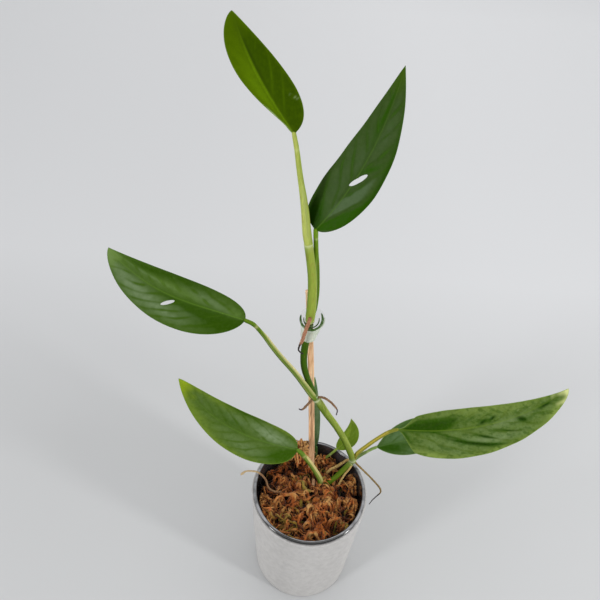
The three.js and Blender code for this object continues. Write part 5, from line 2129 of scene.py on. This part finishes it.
@dataclass(frozen=True)
class Root:
    """An aerial root.

    Attributes:
        name: its CAD node.
        tip_from: share of the route where it turns dark.
        hairs: how many fine hairs it has.
    """

    name: str
    limb: Limb
    finish: DryRoot
    tip_from: float = 2.0
    hairs: int = 0

    def section(self, at: Places) -> Section:
        """Corky unevenness round the root, and how far it has turned to its tip's colour.

        Args:
            at: the places.

        Returns:
            The radius's factor, and the value far.
        """
        spot = np.stack([np.cos(at.angle), np.sin(at.angle), at.run * 0.7], -1)
        factor = 1 + 0.09 * ripples(spot, 1.6, 61) + 0.05 * ripples(spot, 4, 62)
        return factor, {"far": smooth(self.tip_from - 0.04, self.tip_from + 0.06, at.along)}

    def fuzz(self, random: Draws) -> Shape:
        """Hairs: thin three-sided spikes that stand off the root, each a ring sunk in it and a point.

        Args:
            random: the draws.

        Returns:
            All the hairs.
        """
        along = random.uniform(0.08, min(self.tip_from, 0.9), self.hairs)
        centre, tangent, radius = self.limb.read(along)
        out = random.normal(size=(self.hairs, 3))
        out = unit(out - (out * tangent).sum(-1, keepdims=True) * tangent)
        side = np.cross(tangent, out)
        length = random.uniform(*HAIR_LENGTH, self.hairs)[:, None]
        foot = centre + out * radius[:, None] * 0.75
        turn = full_turn(3)[:, None]
        ring = foot[:, None] + HAIR_RADIUS * (side[:, None] * np.cos(turn) + tangent[:, None] * np.sin(turn))
        lean = random.normal(0, 0.35, (self.hairs, 3))
        top = foot + unit(out + lean) * (length + radius[:, None] * 0.3)
        points = np.concatenate([ring, top[:, None]], 1).reshape(-1, 3)
        starts = np.arange(self.hairs)[:, None, None] * 4
        faces = (np.array([[0, 3, 1], [1, 3, 2], [2, 3, 0], [0, 1, 2]]) + starts).reshape(-1, 3)
        return Shape(points, np.zeros((0, 4), int), faces, {"far": np.zeros(len(points))})

    def build(self, random: Draws) -> None:
        """Dresses the root and, where it has them, its hairs.

        Args:
            random: the draws.
        """
        material, slot = self.finish.material(), self.finish.slot
        root = self.limb.shape(self.section).piece(self.name.replace("root_", "aerial_root_"))
        dress(root, material, slot, self.name)
        if self.hairs:
            dress(self.fuzz(random).piece(self.name.replace("root_", "root_hairs_")), material, slot)


ROOTS: tuple[Root, ...] = (
    Root("root_over_tie", Limb((
        (-12.3, 19, 284, 1), (-12.6, 15.4, 286, 1.1), (-13.5, 12.2, 284, 1.1), (-14.8, 11, 278.8, 1.15),
        (-16, 11.4, 271, 1.1), (-17.4, 11.8, 266, 0.6), (-17.7, 12.4, 261.3, 0.5), (-15.9, 13.2, 258, 0.45),
        (-14.5, 13.4, 257, 0.4)), (-1, -0.2, 0), 18, 0.4), PINK, 0.55, 90),
    Root("root_left_node", Limb((
        (-4, 14.5, 211.5, 0.9), (-6.5, 12.4, 209.2, 0.9), (-8.7, 11.5, 206, 0.85), (-10.9, 11, 202, 0.75),
        (-12.5, 11, 200.6, 0.5), (-14.2, 11, 201.6, 0.4)), (0, -1, 0), 18, 0.4), OLIVE, 0.66, 40),
    Root("root_right_node", Limb((
        (-2.2, 14.6, 211.5, 0.8), (1.9, 12.4, 214.6, 0.8), (6.8, 11, 212.7, 0.8), (11, 10, 208, 0.7),
        (12.6, 10, 205, 0.45), (12.6, 10.5, 198.3, 0.4)), (0, -1, 0), 18, 0.4), OLIVE, 0.68, 50),
    Root("root_right_hanging", Limb((
        (34.8, 22.6, 121, 0.8), (38, 20.8, 118.6, 0.8), (47.3, 16, 112.4, 0.75), (57.6, 10.2, 104, 0.7),
        (58.9, 9, 100, 0.6), (56.4, 8.7, 93, 0.45), (53.8, 8, 87.6, 0.4), (51.8, 7, 82, 0.35)),
        (0, -1, 0), 16, 0.4), DULL, 0.6, 70),
    Root("root_into_moss", Limb((
        (33, 21.5, 120, 0.8), (31.9, 18, 118.6, 0.8), (28.2, 15.2, 113, 0.8), (24.2, 10.4, 105, 0.85),
        (21, 6.5, 96, 0.9), (19.5, 5, 89, 0.8)), (1, -1, 0), 16, 0.5), STRAW),
    Root("root_straw", Limb((
        (33, 24.5, 117.8, 1), (30, 27, 114.6, 1.1), (22.7, 23.5, 110.8, 1.15), (16.5, 21.8, 106, 1.15),
        (12.4, 20.6, 98, 1.1), (11, 20, 90, 0.9)), (0, 0, 1), 18, 0.5), STRAW),
    Root("root_over_lip", Limb((
        (-16.8, 0.9, 98, 0.8), (-20.5, -0.4, 104.4, 0.85), (-28, -0.9, 105.6, 0.85),
        (-32.7, 1.4, 106.6, 0.85), (-35.4, 6.2, 109.5, 0.8), (-39, 8.2, 113.6, 0.8),
        (-42.8, 9.3, 115.6, 0.75), (-46.9, 9.6, 115.8, 0.7),
        (-51.8, 10, 114, 0.65), (-54.4, 8.8, 112.6, 0.95), (-55.9, 7.5, 112, 0.6)), (0, -1, 0.2), 16, 0.4),
        WORN, 0.55, 30),
)


# Studio


@dataclass(frozen=True)
class SoftBox:
    """A rectangular lamp that looks at its target, unseen by the camera itself."""

    name: str
    place: Row
    size: Row
    power: float
    target: Row = (0.0, 0.0, 100.0)

    def build(self) -> None:
        """Adds the lamp, turned to its target."""
        lamp = bpy.data.lights.new(self.name, "AREA")
        lamp.shape, lamp.energy = "RECTANGLE", self.power
        lamp.size, lamp.size_y = self.size[0] * MM, self.size[1] * MM
        made = bpy.data.objects.new(self.name, lamp)
        made.location = Vector(self.place) * MM
        made.rotation_euler = (Vector(self.target) - Vector(self.place)).to_track_quat("-Z", "Y").to_euler()
        made.visible_camera = False
        bpy.context.scene.collection.objects.link(made)


@dataclass
class Studio:
    """The pale floor, the lamps and the camera at the photograph's viewpoint."""

    floor_half: float = 6000.0
    floor_drop: float = 0.1
    floor_near: str = "#d2d3d4"
    floor_bright: str = "#e5e6e8"
    floor_far: str = "#e9eaec"
    floor_end: str = "#f3f4f6"
    floor_left: str = "#f8f8f8"
    sky: str = "#f5f6f7"
    sky_strength: float = 0.34
    camera_place: Row = (-19.3, -233.6, 535.8)
    pitch: float = 43.2
    roll: float = 4.5
    lens: float = 34.8
    sensor: float = 36.0
    clip: Row = (0.01, 50.0)
    lamps: tuple[SoftBox, ...] = (
        SoftBox("lamp_right", (1180, -580, 400), (130, 760), 9.0, (0.0, 0.0, 200.0)),
        SoftBox("lamp_left", (-1010, -780, 420), (200, 760), 7.4, (0.0, 0.0, 200.0)),
        SoftBox("lamp_above", (250, 1200, 2400), (4200, 4200), 53.0, (250.0, 1200.0, 0.0)),
    )

    def build(self) -> None:
        """Adds the floor, the even sky light, the lamps and the camera."""
        self.add_floor()
        self.add_sky()
        for lamp in self.lamps:
            lamp.build()
        self.add_camera()
        bpy.context.scene.view_settings.view_transform = "Standard"

    def add_floor(self) -> None:
        """A square with painted light and shade: darker near the pot, paler with distance, and a little
        darker towards the left.
        """
        half = self.floor_half
        corners = np.array([[-half, -half, 0], [half, -half, 0], [half, half, 0], [-half, half, 0]])
        floor = Shape(corners - [0, 0, self.floor_drop], np.array([[0, 1, 2, 3]])).piece("floor")
        s = Shader("studio_floor", Specular_IOR_Level=0.2)
        x, y, _ = s.axes()
        # painted light and shade: the floor darkens near the pot and pales with distance
        away = s.ramp(s.span(y, 0.0, 2.0), (0.05, self.floor_near), (0.2, self.floor_bright),
                      (0.4, self.floor_far), (0.8, self.floor_end))
        tone = s.blend(s.span(x, 0.25, -0.25), away, s.blend(1.0, away, self.floor_left, "MULTIPLY"))
        floor.data.materials.append(s.finish(tone, s.span(s.noise(40, 1), 0.3, 0.7, 0.55, 0.65)))

    def add_sky(self) -> None:
        """One even colour from all sides."""
        world = bpy.data.worlds.new("studio")
        world.use_nodes = True
        sky = world.node_tree.nodes["Background"]
        sky.inputs[0].default_value, sky.inputs[1].default_value = linear(self.sky), self.sky_strength
        bpy.context.scene.world = world

    def add_camera(self) -> None:
        """The camera looks along +Y, pitched down from level and rolled about its own axis."""
        camera = bpy.data.cameras.new("camera")
        camera.lens, camera.sensor_width = self.lens, self.sensor
        camera.clip_start, camera.clip_end = self.clip
        made = bpy.data.objects.new("camera", camera)
        tilt = Matrix.Rotation(math.radians(90 - self.pitch), 4, "X")
        roll = Matrix.Rotation(math.radians(self.roll), 4, "Z")
        made.matrix_world = Matrix.Translation(Vector(self.camera_place) * MM) @ tilt @ roll
        bpy.context.scene.collection.objects.link(made)
        bpy.context.scene.camera = made


def main() -> None:
    """Builds the studio, then the object's parts from the pots up."""
    logging.basicConfig(level=logging.INFO, format="%(message)s")
    Studio().build()
    CoverPot().build()
    nursery = NurseryPot()
    nursery.build()
    MossBed(nursery).build()
    Stake().build()
    Tie().build()
    Stem().build()
    Foliage().build()
    random = np.random.default_rng(3)
    for root in ROOTS:
        root.build(random)


if __name__ == "__main__":
    main()
